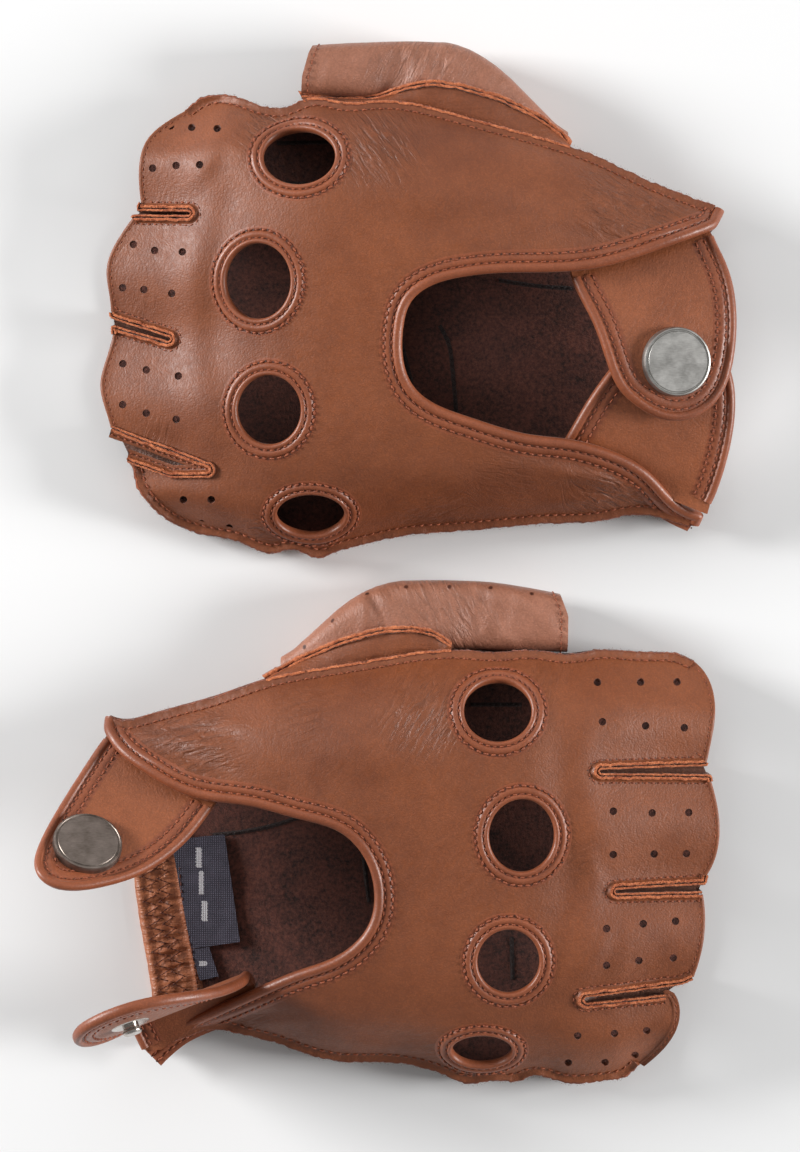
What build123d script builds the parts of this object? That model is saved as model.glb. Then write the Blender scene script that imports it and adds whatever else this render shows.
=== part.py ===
from build123d import *
import math
import os

# A pair of fingerless leather driving gloves lying backs up, fingers pointing apart.
# Frame: millimetres, +Z up, Z = 0 is the surface the gloves lie on, X runs along the
# fingers (left glove towards -X, right glove towards +X), thumbs point to +Y.

# ---------------------------------------------------------------- driving dimensions
LEATHER = 1.0            # thickness of the back and palm leather
THUMB_WALL = 1.0         # thickness of the thumb leather
FACING = 0.7             # thickness of a sewn facing ring round a knuckle hole
FACING_WIDTH = 3.3       # width of that ring
ROLL = 2.1               # visible width of the rolled binding
ROLL_HEIGHT = 0.9        # height of the roll above the leather it edges
RIDGE = 1.4              # height of the raw finger seams above the back
FOURCHETTE = 0.8         # thickness of the strips between the fingers
SEAM_GAP = 0.12          # clearance between sewn pieces, so that no solids overlap
LAY_GAP = 0.15           # clearance of a facing or binding above its leather
PERFORATION = 1.8        # diameter of the small air holes
STRAP = 1.6              # thickness of the folded and bound strap and under-tab
STRAP_ROLL = 1.6         # width of the strap's rolled edge
FOLD_GAP = 0.35          # clearance on each side of a strap's fold line

CAP_D = 16.0             # snap fastener: visible cap
CAP_H = 2.2
CAP_RIM = 0.9
POST_D = 3.2
SOCKET_D = 12.0
SOCKET_H = 3.0
STUD_D = 4.6
STUD_FLANGE_D = 9.0
EYELET_D = 9.0
SNAP_CLEAR = 0.3
STUD_REST = 0.5          # gap between the closed socket and the stud's flange

PAIR_CENTRE = (-0.44, 0.32)  # middle of the laid-out pair, which is the origin
FAR = 80.0               # longer than any cut has to be
OUT = "parts"

os.makedirs(OUT, exist_ok=True)


# ---------------------------------------------------------------- the two gloves
# Outlines as seen from above, in order from the fingers to the wrist.
LEFT = {
    "name": "left",
    "wrist_x": 78.0,
    "dir": -1,
    "index_edge": [
        (-47, 104.5), (-36, 107.5), (-24, 104.5), (-18, 106.8), (-11, 105.7), (-1, 106),
        (16.5, 102.5), (35, 97.5), (48.5, 93), (58, 88.5), (67, 85), (77, 81.5),
    ],
    "little_edge": [
        (-59, 22), (-57.5, 17), (-53.5, 12), (-48, 8.5), (-41, 6.5), (-34, 5), (-27.5, 2.5),
        (-22, 3.5), (-17, 1.5), (-12, 3), (-6.5, 4.5), (2.5, 6.5), (13, 7.5), (25.5, 8.5),
        (37, 9.5), (48.5, 10), (59, 11.5), (67, 9.5), (71.5, 8.5),
    ],
    "little_corner": 3,
    "finger_ends": [
        [(-47, 104.5), (-52.5, 101), (-55.5, 98), (-57.5, 91), (-57, 83)],
        [(-59, 79.5), (-62.5, 74.5), (-65, 68), (-64.5, 62.5), (-64, 58)],
        [(-63.5, 53), (-65.5, 46), (-66.5, 41), (-65.5, 36), (-64, 31)],
        [(-60.5, 24), (-59, 22)],
    ],
    "opening": [
        (75.5, 77.5), (69.5, 75), (60, 71.5), (48.5, 68), (41.5, 67), (25.5, 66.5), (16.5, 65.5),
        (9.5, 63.5), (5, 60), (3, 53.5), (3, 46.5), (5.5, 40), (10.5, 36), (18.5, 33), (32.5, 29),
        (41.5, 28), (51, 25.5), (60, 20.5), (67, 13.5), (73, 11),
    ],
    "palm_wrist": [(75.5, 77.5), (71.5, 71), (70.5, 60), (70.5, 30), (71, 17), (73, 11)],
    "slots": [
        [(-68, 82.3), (-45.8, 81.4), (-45.8, 79.2), (-68, 80.1)],
        [(-70, 59.2), (-50.6, 52.8), (-50.6, 50.4), (-70, 56.4)],
        [(-70, 33.4), (-41.6, 22.8), (-41.6, 20.4), (-50, 20.2), (-68, 26.8)],
    ],
    "slot_ends": [(-45.8, 80.3, 1.1), (-50.6, 51.6, 1.2), (-41.6, 21.6, 1.2)],
    "slot_share": [0.0, 0.15, 0.45, 0.765, 1.0],
    "holes": [
        ("index", (-20.5, 93), 16.8, 13.2),
        ("middle", (-30, 64.5), 15.4, 17.6),
        ("ring", (-27.5, 35), 15.0, 16.2),
        ("little", (-18, 11), 16.0, 9.4),
    ],
    "perforations": [
        (-50.5, 101), (-45.5, 100.5), (-39.5, 100), (-54.5, 91), (-49, 91.5), (-43.5, 91.5),
        (-59, 73.5), (-54, 72), (-47.5, 71.5), (-61.5, 63.5), (-56.5, 63), (-50, 62),
        (-61.5, 46), (-56, 44.5), (-48.5, 43), (-61.5, 36.5), (-56, 34.5), (-49, 33),
        (-54.5, 14.5), (-47.5, 14.5), (-41, 14.5), (-43.5, 9), (-37, 8),
    ],
    "crown": [(0, 12), (15, 12.5), (35, 14), (60, 17), (95, 17), (115, 14), (130, 9), (145, 5)],
    "index_height": [(0, 12), (20, 14), (40, 17), (90, 17), (110, 13), (130, 8), (145, 5)],
    "little_height": [(0, 6), (40, 5.5), (100, 5.5), (120, 5), (145, 4)],
    "thumb": [
        (-24, 107.5, 119.2, 8.4), (-12, 107.4, 120.1, 8.4), (4, 106.8, 120.7, 8.4),
        (16, 103.6, 120.3, 8.4), (25, 101.4, 115.3, 8.0), (34, 98.9, 106.4, 6.8),
        (41.5, 96.6, 98.8, 5.2),
    ],
    "thumb_end": [(-30, 100), (-30, 125), (-15, 125), (-18.5, 117.5), (-20, 112), (-20.6, 100)],
    "thumb_window": (5, 27),
    "thumb_perforations": [],
    "strap_fold": ((42.4, 64.0), (76.6, 74.9)),
    "strap_fold_height": (24.6, 17.0),
    "strap_slope": [(-14, 0.5), (-3, 0.46), (2, 0.22), (14, 0.06), (22, -0.05), (40, -0.2)],
    "strap_open": 0.0,
    "strap_outline": [
        (0.4, 0), (0.8, 4), (1.6, 10), (1.8, 20), (3, 27), (5, 30.3), (10.8, 35.8), (17.6, 37.4),
        (24.8, 34.6), (29.6, 28.4), (33.4, 19.4), (35.4, 9.6), (35.2, 3), (34.8, 0),
    ],
    "strap_root": [(0.8, 0), (35, 0), (34, -2.5), (28, -7), (3, -8)],
    "snap_at": (16.9, 24.2),
    "tab_fold": ((73.0, 15.4), (40.2, 30.4)),
    "tab_fold_height": (12.2, 18.6),
    "tab_slope": [(-14, 0.7), (-3, 0.66), (2, 0.3), (10, 0.17), (20, 0.02), (34, -0.12)],
    "tab_open": 0.0,
    "tab_outline": [
        (-2, 0), (-1.4, 5), (0, 12), (1.4, 17), (3.8, 23), (7.5, 28.5), (13, 32.3), (20, 33),
        (26.5, 30), (31, 24), (33, 17), (34.4, 9), (34.8, 3), (34.9, 0),
    ],
    "tab_root": [(3, 0), (35.5, 0), (33, -5.5), (14, -4), (5, -1.2)],
    "stud_at": (18, 26),
}

RIGHT = {
    "name": "right",
    "wrist_x": -67.0,
    "dir": 1,
    "index_edge": [
        (70.5, -23), (67, -21.5), (58, -21), (48.5, -20.5), (40.5, -21.5), (33.5, -20.5),
        (25.5, -21), (16.5, -20.5), (7, -21), (-2, -22.5), (-11, -24), (-20.5, -25.5),
        (-29, -27.5), (-39, -31), (-48, -33.5), (-57, -36), (-61, -36.8), (-65, -35.5),
    ],
    "little_edge": [
        (58, -116), (53, -119.5), (48.5, -120), (44, -120.5), (39.5, -120), (33.5, -118.5),
        (30, -120), (25.5, -119.7), (18.5, -120.5), (12, -118), (7, -116.5), (0.5, -115.5),
        (-6.5, -115.5), (-13.5, -115), (-20.5, -113), (-27.5, -110.5), (-34, -109),
        (-42, -108), (-48, -110), (-53.5, -112), (-56.5, -113),
    ],
    "little_corner": 0,
    "finger_ends": [
        [(70.5, -23), (73.5, -26.5), (75, -32), (74.5, -39), (73, -46)],
        [(74, -50.5), (75, -54), (76, -61.5), (75, -68), (73, -72)],
        [(72, -76), (72.5, -85.5), (71.5, -91), (70, -95.5)],
        [(62.5, -98.5), (65, -101), (65.5, -105), (63.5, -110), (58, -116)],
    ],
    "opening": [
        (-65.5, -38), (-62, -43.5), (-56, -48), (-48, -52.5), (-40.5, -54.5), (-32, -55.5),
        (-20.5, -58.5), (-11, -61.5), (-5, -68), (-3, -75.5), (-4, -82.5), (-7.5, -87.5),
        (-13.5, -91.5), (-20.5, -94), (-29.5, -98), (-39, -102.5), (-48, -107), (-55.5, -112),
    ],
    "palm_wrist": [(-65.5, -38), (-61, -47), (-59.5, -60), (-58.5, -77), (-56, -92),
                   (-54.5, -104), (-55.5, -112)],
    "slots": [
        [(82, -46), (48.5, -46.8), (48.5, -49), (82, -49.6)],
        [(82, -73.2), (52.2, -74.4), (52.2, -76.6), (82, -76.4)],
        [(78, -95.4), (45.4, -99), (45.4, -101.6), (70, -99.6)],
    ],
    "slot_ends": [(48.5, -47.9, 1.1), (52.2, -75.5, 1.1), (45.4, -100.3, 1.3)],
    "slot_share": [0.0, 0.18, 0.455, 0.73, 1.0],
    "holes": [
        ("index", (25, -34), 15.8, 14.2),
        ("middle", (30.5, -62.5), 15.4, 17.0),
        ("ring", (27.5, -91.5), 14.6, 15.0),
        ("little", (21.5, -112.6), 14.2, 7.6),
    ],
    "perforations": [
        (48, -27.5), (58, -27.5), (66.5, -27.5), (49, -36.5), (59, -37.5), (68, -38),
        (51.5, -57), (60.5, -57.5), (69, -57.5), (51.5, -67), (61, -67), (68.5, -67),
        (50, -84), (58.5, -83), (66, -82.5), (50, -92.5), (57.5, -91.5), (65.5, -91),
        (43.5, -109), (52, -108.5), (59.5, -108), (41.5, -115.6), (50, -115.6), (57, -114),
    ],
    "crown": [(0, 12), (15, 12.5), (35, 14), (60, 17), (95, 17), (115, 15), (130, 12), (145, 9)],
    "index_height": [(0, 12), (20, 14), (40, 17), (95, 17), (115, 14), (130, 11), (145, 9)],
    "little_height": [(0, 6), (40, 5.5), (100, 5.5), (120, 6), (145, 6)],
    "thumb": [
        (47, -19.6, -9.0, 8.4), (36, -19.6, -6.4, 8.4), (24, -19.6, -4.4, 8.4),
        (12, -19.6, -4.0, 8.4), (0, -21.6, -4.2, 8.2), (-9, -23.0, -8.2, 7.8),
        (-18, -24.8, -16.4, 6.8), (-25, -26.4, -22.8, 5.2),
    ],
    "thumb_end": [(52, -26), (52, 2), (37, 2), (39.5, -7), (41.4, -12), (41.2, -26)],
    "thumb_window": (-10, 12),
    "thumb_perforations": [
        (-19.5, -19.5), (-13, -13.4), (-5, -7.2), (4, -5.6), (14, -5.6), (23.5, -5.8), (33, -7.2),
    ],
    "strap_fold": ((-41.2, -57.2), (-67.2, -40.4)),
    "strap_fold_height": (23.2, 15.6),
    "strap_slope": [(-14, 0.5), (-3, 0.44), (2, 0.28), (14, 0.55), (24, 0.85), (36, 1.2)],
    "strap_open": 0.0,
    "strap_outline": [
        (0.4, 0), (0.4, 6), (1.6, 14), (4, 20.5), (8.5, 27), (13.5, 31.6), (18, 33),
        (22.4, 31.6), (25.4, 27.5), (27.8, 20.5), (29.4, 12), (30.2, 4), (30.4, 0),
    ],
    "strap_root": [(0.8, 0), (30, 0), (29, -2), (23, -6), (3, -8)],
    "snap_at": (17.2, 21.6),
    "tab_fold": ((-58.6, -106.6), (-31.0, -95.4)),
    "tab_fold_height": (8.8, 17.0),
    "tab_slope": [(-14, 1.0), (-4, 0.9), (2, 0.34), (10, 0.17), (20, 0.0), (34, -0.2)],
    "tab_open": 78.0,
    "tab_outline": [
        (-1, 0), (-3.6, 6), (-6.4, 13), (-7.4, 20), (-6, 27), (-1.6, 32), (5, 34),
        (13, 33), (20, 28), (25, 20), (28, 11), (29.6, 4), (29.8, 0),
    ],
    "tab_root": [(4, 0), (30, 0), (28, -6), (18, -3), (8, -1)],
    "stud_at": (6.0, 21.5),
}


# ---------------------------------------------------------------- small helpers
def curve(knots, x):
    """Value at x of the smooth curve through (position, value) knots, held past the ends."""
    pts = sorted(knots)
    if x <= pts[0][0]:
        return pts[0][1]
    if x >= pts[-1][0]:
        return pts[-1][1]
    i = max(k for k in range(len(pts) - 1) if pts[k][0] <= x)
    (x0, y0), (x1, y1) = pts[i], pts[i + 1]
    before = pts[max(i - 1, 0)]
    after = pts[min(i + 2, len(pts) - 1)]
    m0 = (y1 - before[1]) / (x1 - before[0])
    m1 = (after[1] - y0) / (after[0] - x0)
    h = x1 - x0
    t = (x - x0) / h
    return ((2 * t ** 3 - 3 * t ** 2 + 1) * y0 + (t ** 3 - 2 * t ** 2 + t) * h * m0
            + (3 * t ** 2 - 2 * t ** 3) * y1 + (t ** 3 - t ** 2) * h * m1)


def running_height(slopes, b):
    """Height at distance b from a fold line whose leather has the given slope knots."""
    steps = 40
    total = 0.0
    for i in range(steps):
        total += curve(slopes, b * (i + 0.5) / steps) * b / steps
    return total


def closed_face(*runs):
    """Face bounded by splines through the runs of points, joined by straight lines."""
    edges = []
    for run, following in zip(runs, runs[1:] + runs[:1]):
        if len(run) == 2:
            edges.append(Line(run[0], run[1]))
        else:
            edges.append(Spline(*run))
        if math.dist(run[-1], following[0]) > 1e-6:
            edges.append(Line(run[-1], following[0]))
    return make_face(edges)


def shifted(points, distance):
    """The run of points moved sideways, to the left of its direction for a positive distance."""
    moved = []
    for i, (x, y) in enumerate(points):
        x0, y0 = points[max(i - 1, 0)]
        x1, y1 = points[min(i + 1, len(points) - 1)]
        length = math.hypot(x1 - x0, y1 - y0)
        moved.append((x - distance * (y1 - y0) / length, y + distance * (x1 - x0) / length))
    return moved


def polygon(points):
    return make_face(Polyline(*points, close=True))


def prism(face, low=-10.0, high=FAR):
    return extrude(Pos(0, 0, low) * face, high - low)


def disc(centre, radius):
    return Pos(centre[0], centre[1]) * Circle(radius)


def oval(centre, width, height, grow=0.0):
    return Pos(centre[0], centre[1]) * Ellipse(width / 2 + grow, height / 2 + grow)


def largest(shape):
    return max(shape.solids(), key=lambda s: s.volume)


# ---------------------------------------------------------------- shape of one glove
class Hand:
    """Heights and surfaces of one glove's back and palm."""

    def __init__(self, spec):
        self.spec = spec
        self.hi = spec["index_edge"]
        self.lo = spec["little_edge"][spec["little_corner"]:]
        self.faces = {}

    def reach(self, x):
        """Distance from the wrist tips towards the fingers."""
        return (x - self.spec["wrist_x"]) * self.spec["dir"]

    def edges(self, x):
        """Smoothed lines of the little-side and index-side seams at x."""
        lo = sum(curve(self.lo, x + d) for d in (-3, 0, 3)) / 3
        hi = sum(curve(self.hi, x + d) for d in (-3, 0, 3)) / 3
        return lo, hi

    def back(self, x, y):
        """Height of the back's outer surface."""
        lo, hi = self.edges(x)
        t = (y - lo) / (hi - lo)
        s = min(abs(2 * t - 1), 1.0)
        u = self.reach(x)
        share = self.spec["slot_share"]
        place = 0.0
        for i in range(4):
            if t > share[i]:
                place = i + min((t - share[i]) / (share[i + 1] - share[i]), 1.0)
        ramp = min(max((u - 96) / 30, 0.0), 1.0)
        ramp = ramp * ramp * (3 - 2 * ramp)
        finger = 2.4 * ramp * (math.sin(math.pi * place) ** 2 - 0.35)
        low = curve(self.spec["little_height"], u)
        high = curve(self.spec["index_height"], u)
        return low + (high - low) * t + curve(self.spec["crown"], u) * (1 - s ** 4.8) + finger

    def palm(self, x, y):
        """Height of the palm's outer surface: flat on the table, rising to the side seams."""
        lo, hi = self.edges(x)
        t = (y - lo) / (hi - lo)
        s = min(abs(2 * t - 1), 1.0)
        u = self.reach(x)
        seam = curve(self.spec["index_height" if t > 0.5 else "little_height"], u)
        return max(seam - 5.8, 1.8) * s ** 12

    def surface(self, kind, offset):
        """Spline face of the back or palm, moved out along its own normal."""
        key = (kind, offset)
        if key in self.faces:
            return self.faces[key]
        height = self.back if kind == "back" else self.palm
        rows = []
        for i in range(35):
            x = -84 + 5 * i
            lo, hi = self.edges(x)
            row = []
            for j in range(31):
                t = 0.5 - 0.55 * math.cos(math.pi * j / 30)
                y = lo + (hi - lo) * t
                d = 0.2
                slope = (height(x, y + d) - height(x, y - d)) / (2 * d)
                z = height(x, y) + offset * math.sqrt(1 + slope * slope)
                row.append(Vector(x, y, z))
            rows.append(row)
        self.faces[key] = Face.make_surface_from_array_of_points(rows, tol=0.05, min_deg=3)
        return self.faces[key]

    def layer(self, face, kind, low, high):
        """Leather over a plan face, between two offsets from the back or the palm."""
        body = prism(face) & extrude_up(self.surface(kind, low))
        return largest(body - extrude_up(self.surface(kind, high)))


def extrude_up(face):
    return Solid.extrude(face, Vector(0, 0, FAR))


# ---------------------------------------------------------------- flaps: strap and under-tab
class Flap:
    """A bound leather flap that folds about a straight line under one branch of the back.

    Its own frame: a runs along the fold line, b away from it, z up from the fold line.
    """

    def __init__(self, fold, heights, slopes, opened):
        start = Vector(fold[0][0], fold[0][1], heights[0])
        end = Vector(fold[1][0], fold[1][1], heights[1])
        along = (end - start).normalized()
        flat = Vector(along.X, along.Y, 0).normalized()
        self.length = (end - start).length
        self.out = Vector(-flat.Y, flat.X, 0)
        self.start = start
        self.along = along
        self.slopes = slopes
        self.opened = opened

    def place(self, towards):
        """Plane of the flap's frame; b points towards the given side of the fold line."""
        if self.out.Y * towards < 0:
            self.out = self.out * -1
        normal = self.along.cross(self.out)
        if normal.Z < 0:
            normal = normal * -1
        self.handed = 1 if self.along.cross(self.out).Z > 0 else -1
        self.normal = normal
        plane = Plane(origin=self.start, x_dir=self.along, z_dir=normal)
        self.location = Location(plane)
        return self

    def height(self, b):
        return running_height(self.slopes, b)

    def surface(self, offset):
        rows = []
        for i in range(29):
            b = -16 + 2 * i
            slope = curve(self.slopes, b)
            z = self.height(b) + offset * math.sqrt(1 + slope * slope)
            rows.append([Vector(a, b * self.handed, z) for a in (-12, 0, 12, 24, 36, 48)])
        return Face.make_surface_from_array_of_points(rows, tol=0.01)

    def layer(self, face, low, high):
        body = prism(face, -40, 60) & extrude_up(self.surface(low))
        return largest(body - extrude_up(self.surface(high)))

    def points(self, pts):
        return [(a, b * self.handed) for a, b in pts]

    def seat(self, at):
        """Location of a fitting on the flap: on its top, square to it."""
        a, b = at
        tilt = math.degrees(math.atan(curve(self.slopes, b)))
        return Pos(a, b * self.handed, self.height(b)) * Rot(tilt * self.handed, 0, 0)

    def finish(self, solid):
        """Move a solid from the flap's frame to its place, opened about the fold line."""
        turned = Rot(self.opened * self.handed, 0, 0) * solid
        return self.location * turned


def flap_outline(flap, outline):
    """Face of a flap, starting just off the fold line."""
    run = list(outline)
    run[0] = (run[0][0], FOLD_GAP)
    run[-1] = (run[-1][0], FOLD_GAP)
    return closed_face(flap.points(run))


def flap_rim(flap, outline):
    """Strip along a flap's free edge, for its rolled binding."""
    outer = shifted(outline, -0.1)[1:-1]
    inner = shifted(outline, -0.1 - STRAP_ROLL)[1:-1]
    return closed_face(flap.points(outer), flap.points(inner)[::-1])


# ---------------------------------------------------------------- build one glove
def build(spec):
    hand = Hand(spec)
    side = spec["name"]
    parts = {}

    # plan outlines ------------------------------------------------------------------
    ends = [list(run) for run in spec["finger_ends"]]
    finger_runs = ends[::-1]
    finger_runs = [run[::-1] for run in finger_runs]
    back_face = closed_face(spec["index_edge"], spec["opening"], spec["little_edge"][::-1],
                            *finger_runs)
    palm_face = closed_face(spec["index_edge"], spec["palm_wrist"], spec["little_edge"][::-1],
                            *finger_runs)
    slots = []
    for points, end in zip(spec["slots"], spec["slot_ends"]):
        slots.append(polygon(points) + disc(end[:2], end[2]))
    holes = Sketch()
    for label, centre, width, height in spec["holes"]:
        holes += oval(centre, width, height)
    for centre in spec["perforations"]:
        holes += disc(centre, PERFORATION / 2)

    back_plan = back_face - holes
    palm_plan = palm_face
    for slot in slots:
        back_plan -= slot
        palm_plan -= slot

    # back and palm --------------------------------------------------------------------
    parts["back_panel"] = hand.layer(back_plan, "back", -LEATHER, 0.0)
    palm = hand.layer(palm_plan, "palm", 0.0, LEATHER)
    x0, x1 = spec["thumb_window"]
    seam = hand.edges((x0 + x1) / 2)[1]
    window = Pos((x0 + x1) / 2, seam, 8.2) * Box(x1 - x0, 16, 8.4)
    parts["palm_panel"] = largest(palm - window)

    # rings round the knuckle holes ----------------------------------------------------
    for label, centre, width, height in spec["holes"]:
        ring = oval(centre, width, height, FACING_WIDTH) - oval(centre, width, height, 0.0)
        piece = hand.layer(ring, "back", LAY_GAP, LAY_GAP + FACING)
        parts["knuckle_ring_" + label] = piece

    # rolled binding of the back opening -------------------------------------------------
    edge = spec["opening"]
    side_sign = spec["dir"]
    band = closed_face(shifted(edge, side_sign * 0.05), shifted(edge, side_sign * ROLL)[::-1])
    parts["opening_binding"] = hand.layer(band, "back", LAY_GAP, LAY_GAP + ROLL_HEIGHT)

    # strips between the fingers ---------------------------------------------------------
    for label, slot in zip(("index_middle", "middle_ring", "ring_little"), slots):
        outer = offset(slot, amount=-SEAM_GAP)
        gap = offset(slot, amount=-SEAM_GAP - FOURCHETTE)
        strip = (outer - gap) & back_face
        body = prism(largest_face(strip), 0.4, FAR)
        body = body - extrude_up(hand.surface("back", RIDGE))
        parts["fourchette_" + label] = largest(body)

    # thumb ------------------------------------------------------------------------------
    parts["thumb"] = thumb(spec, hand)

    # wrist: gathered elastic and hem inside the palm ---------------------------------------
    wrist = spec["palm_wrist"]
    step = -spec["dir"]
    hem_out = [(x - step * 0.5, y) for x, y in wrist[1:-1]]
    hem_in = [(x - step * 2.8, y) for x, y in wrist[1:-1]]
    elastic_out = [(x - step * 3.2, y) for x, y in wrist[1:-1]]
    elastic_in = [(x - step * 13.5, y) for x, y in wrist[1:-1]]
    hem = closed_face(hem_out, hem_in[::-1])
    elastic = closed_face(elastic_out, elastic_in[::-1])
    parts["wrist_hem"] = hand.layer(hem, "palm", LEATHER + LAY_GAP, LEATHER + 1.0)
    parts["wrist_elastic"] = hand.layer(elastic, "palm", LEATHER + LAY_GAP, LEATHER + 1.4)

    # strap --------------------------------------------------------------------------------
    strap = Flap(spec["strap_fold"], spec["strap_fold_height"], spec["strap_slope"],
                 spec["strap_open"]).place(-1)
    flap_face = flap_outline(strap, spec["strap_outline"])
    seat = strap.seat(spec["snap_at"])
    pad = seat * Pos(0, 0, -STRAP) * extrude(Circle(CAP_D / 2 + 0.4), STRAP)
    core = seat * Pos(0, 0, -20) * extrude(Circle(CAP_D / 2 + 0.4), 40)
    through = seat * Pos(0, 0, -20) * extrude(Circle(POST_D / 2 + 0.02), 40)
    body = largest((strap.layer(flap_face, -STRAP, 0.0) - core + pad) - through)
    parts["strap"] = strap.finish(body)
    rim = flap_rim(strap, spec["strap_outline"])
    parts["strap_binding"] = strap.finish(strap.layer(rim, LAY_GAP, 0.85))
    root = polygon(strap.points([(a, b - FOLD_GAP) for a, b in spec["strap_root"]]))
    parts["strap_root"] = strap.location * strap.layer(root, -STRAP, 0.0)

    # snap: cap and post, socket with its spring ---------------------------------------------
    parts["snap_cap"] = strap.finish(seat * snap_cap())
    parts["snap_socket"] = strap.finish(seat * Pos(0, 0, -STRAP) * snap_socket())
    parts["snap_spring"] = strap.finish(seat * Pos(0, 0, -STRAP - 2.35) * snap_spring())

    # under-tab ------------------------------------------------------------------------------
    tab = Flap(spec["tab_fold"], spec["tab_fold_height"], spec["tab_slope"],
               spec["tab_open"]).place(1)
    tab_face = flap_outline(tab, spec["tab_outline"])
    if spec["tab_open"] == 0.0:
        under_socket = Pos(0, 0, -STRAP - SOCKET_H - STUD_REST)
        local_seat = tab.location.inverse() * strap.location * seat * under_socket
    else:
        local_seat = tab.seat(spec["stud_at"])
    pad = local_seat * Pos(0, 0, -STRAP) * extrude(Circle(SOCKET_D / 2 + 0.6), STRAP)
    core = local_seat * Pos(0, 0, -20) * extrude(Circle(SOCKET_D / 2 + 0.6), 40)
    through = local_seat * Pos(0, 0, -20) * extrude(Circle(POST_D / 2 - 0.4 + 0.02), 40)
    body = largest((tab.layer(tab_face, -STRAP, 0.0) - core + pad) - through)
    parts["under_tab"] = tab.finish(body)
    rim = flap_rim(tab, spec["tab_outline"])
    parts["under_tab_binding"] = tab.finish(largest(tab.layer(rim, LAY_GAP, 0.85) - core))
    root = polygon(tab.points([(a, b - FOLD_GAP) for a, b in spec["tab_root"]]))
    parts["under_tab_root"] = tab.location * tab.layer(root, -STRAP, 0.0)
    parts["snap_stud"] = tab.finish(local_seat * snap_stud())
    parts["snap_eyelet"] = tab.finish(local_seat * Pos(0, 0, -STRAP) * snap_eyelet())

    # labels sewn inside the right wrist ---------------------------------------------------
    if side == "right":
        woven = polygon([(-44, -66), (-38, -65), (-35.5, -80), (-38, -88), (-46, -89)])
        parts["woven_label"] = hand.layer(woven, "palm", LEATHER + 1.55, LEATHER + 2.1)
        size = polygon([(-43.5, -90.5), (-39.5, -90), (-38.5, -96), (-42.5, -96.5)])
        parts["size_label"] = hand.layer(size, "palm", LEATHER + 1.55, LEATHER + 2.1)

    return {side + "_" + key: value for key, value in parts.items()}, strap, tab


def largest_face(sketch):
    return max(sketch.faces(), key=lambda f: f.area)


def thumb(spec, hand):
    """Flattened hollow tube beside the index seam, open at its end and into the palm."""
    outer = []
    inner = []
    for x, near, far, half in spec["thumb"]:
        centre = (near + far) / 2
        width = far - near
        level = half + 0.3
        radius = 0.42 * min(width, 2 * half)
        plane = Plane(origin=(x, centre, level), x_dir=(0, 1, 0), z_dir=(1, 0, 0))
        outer.append(plane * RectangleRounded(width, 2 * half, radius))
        wall = THUMB_WALL
        if width > 4:
            inner.append(plane * RectangleRounded(width - 2 * wall, 2 * half - 2 * wall,
                                                  max(radius - wall * 0.6, 0.8)))
    body = loft(outer) - loft(inner)
    body -= prism(polygon(spec["thumb_end"]))
    x0, x1 = spec["thumb_window"]
    seam = hand.edges((x0 + x1) / 2)[1]
    body -= Pos((x0 + x1) / 2, seam - 2.5, 8.2) * Box(x1 - x0, 16, 8.4)
    for x, y in spec["thumb_perforations"]:
        body -= Pos(x, y, 14) * Cylinder(PERFORATION / 2, 12)
    return largest(body)


# ---------------------------------------------------------------- snap fastener
def snap_cap():
    """Shallow dome with a raised rim, its post going down through the strap."""
    r = CAP_D / 2
    profile = polygon([
        (0, 0), (r, 0), (r, CAP_RIM), (r - 0.3, CAP_RIM + 0.5), (r - 0.8, CAP_RIM + 0.6),
        (r - 1.3, CAP_RIM + 0.45), (r * 0.55, CAP_H - 0.3), (r * 0.28, CAP_H - 0.07), (0, CAP_H),
    ])
    cap = revolve(Plane.XZ * profile, Axis.Z)
    post = Pos(0, 0, -STRAP) * extrude(Circle(POST_D / 2), STRAP)
    return cap + post


def snap_socket():
    """Cup under the strap that holds the spring and takes the stud."""
    cup = Pos(0, 0, -SOCKET_H) * extrude(Circle(SOCKET_D / 2), SOCKET_H)
    cup = fillet(cup.edges().filter_by(GeomType.CIRCLE), 0.4)
    mouth = STUD_D / 2 + SNAP_CLEAR + 0.1
    cup -= Pos(0, 0, -SOCKET_H) * extrude(Circle(mouth), SOCKET_H - 0.7)
    groove = Pos(0, 0, -2.75) * extrude(Circle(mouth + 0.9), 0.8)
    return cup - groove


def snap_spring():
    """Split wire ring in the socket's groove."""
    ring = Torus(STUD_D / 2 + SNAP_CLEAR + 0.45, 0.28)
    return ring - Pos(0, -3.2, 0) * Box(1.2, 3, 2)


def snap_stud():
    """Necked stud on a round flange, with the post that goes through the under-tab."""
    r = STUD_D / 2
    head = 2.4
    profile = make_face([
        Line((0, 0), (STUD_FLANGE_D / 2, 0)),
        Line((STUD_FLANGE_D / 2, 0), (STUD_FLANGE_D / 2 - 0.3, 0.16)),
        Line((STUD_FLANGE_D / 2 - 0.3, 0.16), (r - 0.4, 0.18)),
        Line((r - 0.4, 0.18), (r - 0.4, 1.0)),
        ThreePointArc((r - 0.4, 1.0), (r, 1.6), (r - 0.5, head - 0.1)),
        Line((r - 0.5, head - 0.1), (0, head)),
        Line((0, head), (0, 0)),
    ])
    stud = revolve(Plane.XZ * profile, Axis.Z)
    post = Pos(0, 0, -STRAP) * extrude(Circle(POST_D / 2 - 0.4), STRAP)
    return stud + post


def snap_eyelet():
    """Domed back plate under the under-tab."""
    plate = Pos(0, 0, -0.9) * extrude(Circle(EYELET_D / 2), 0.9)
    return fillet(plate.edges().filter_by(GeomType.CIRCLE), 0.3)


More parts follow.
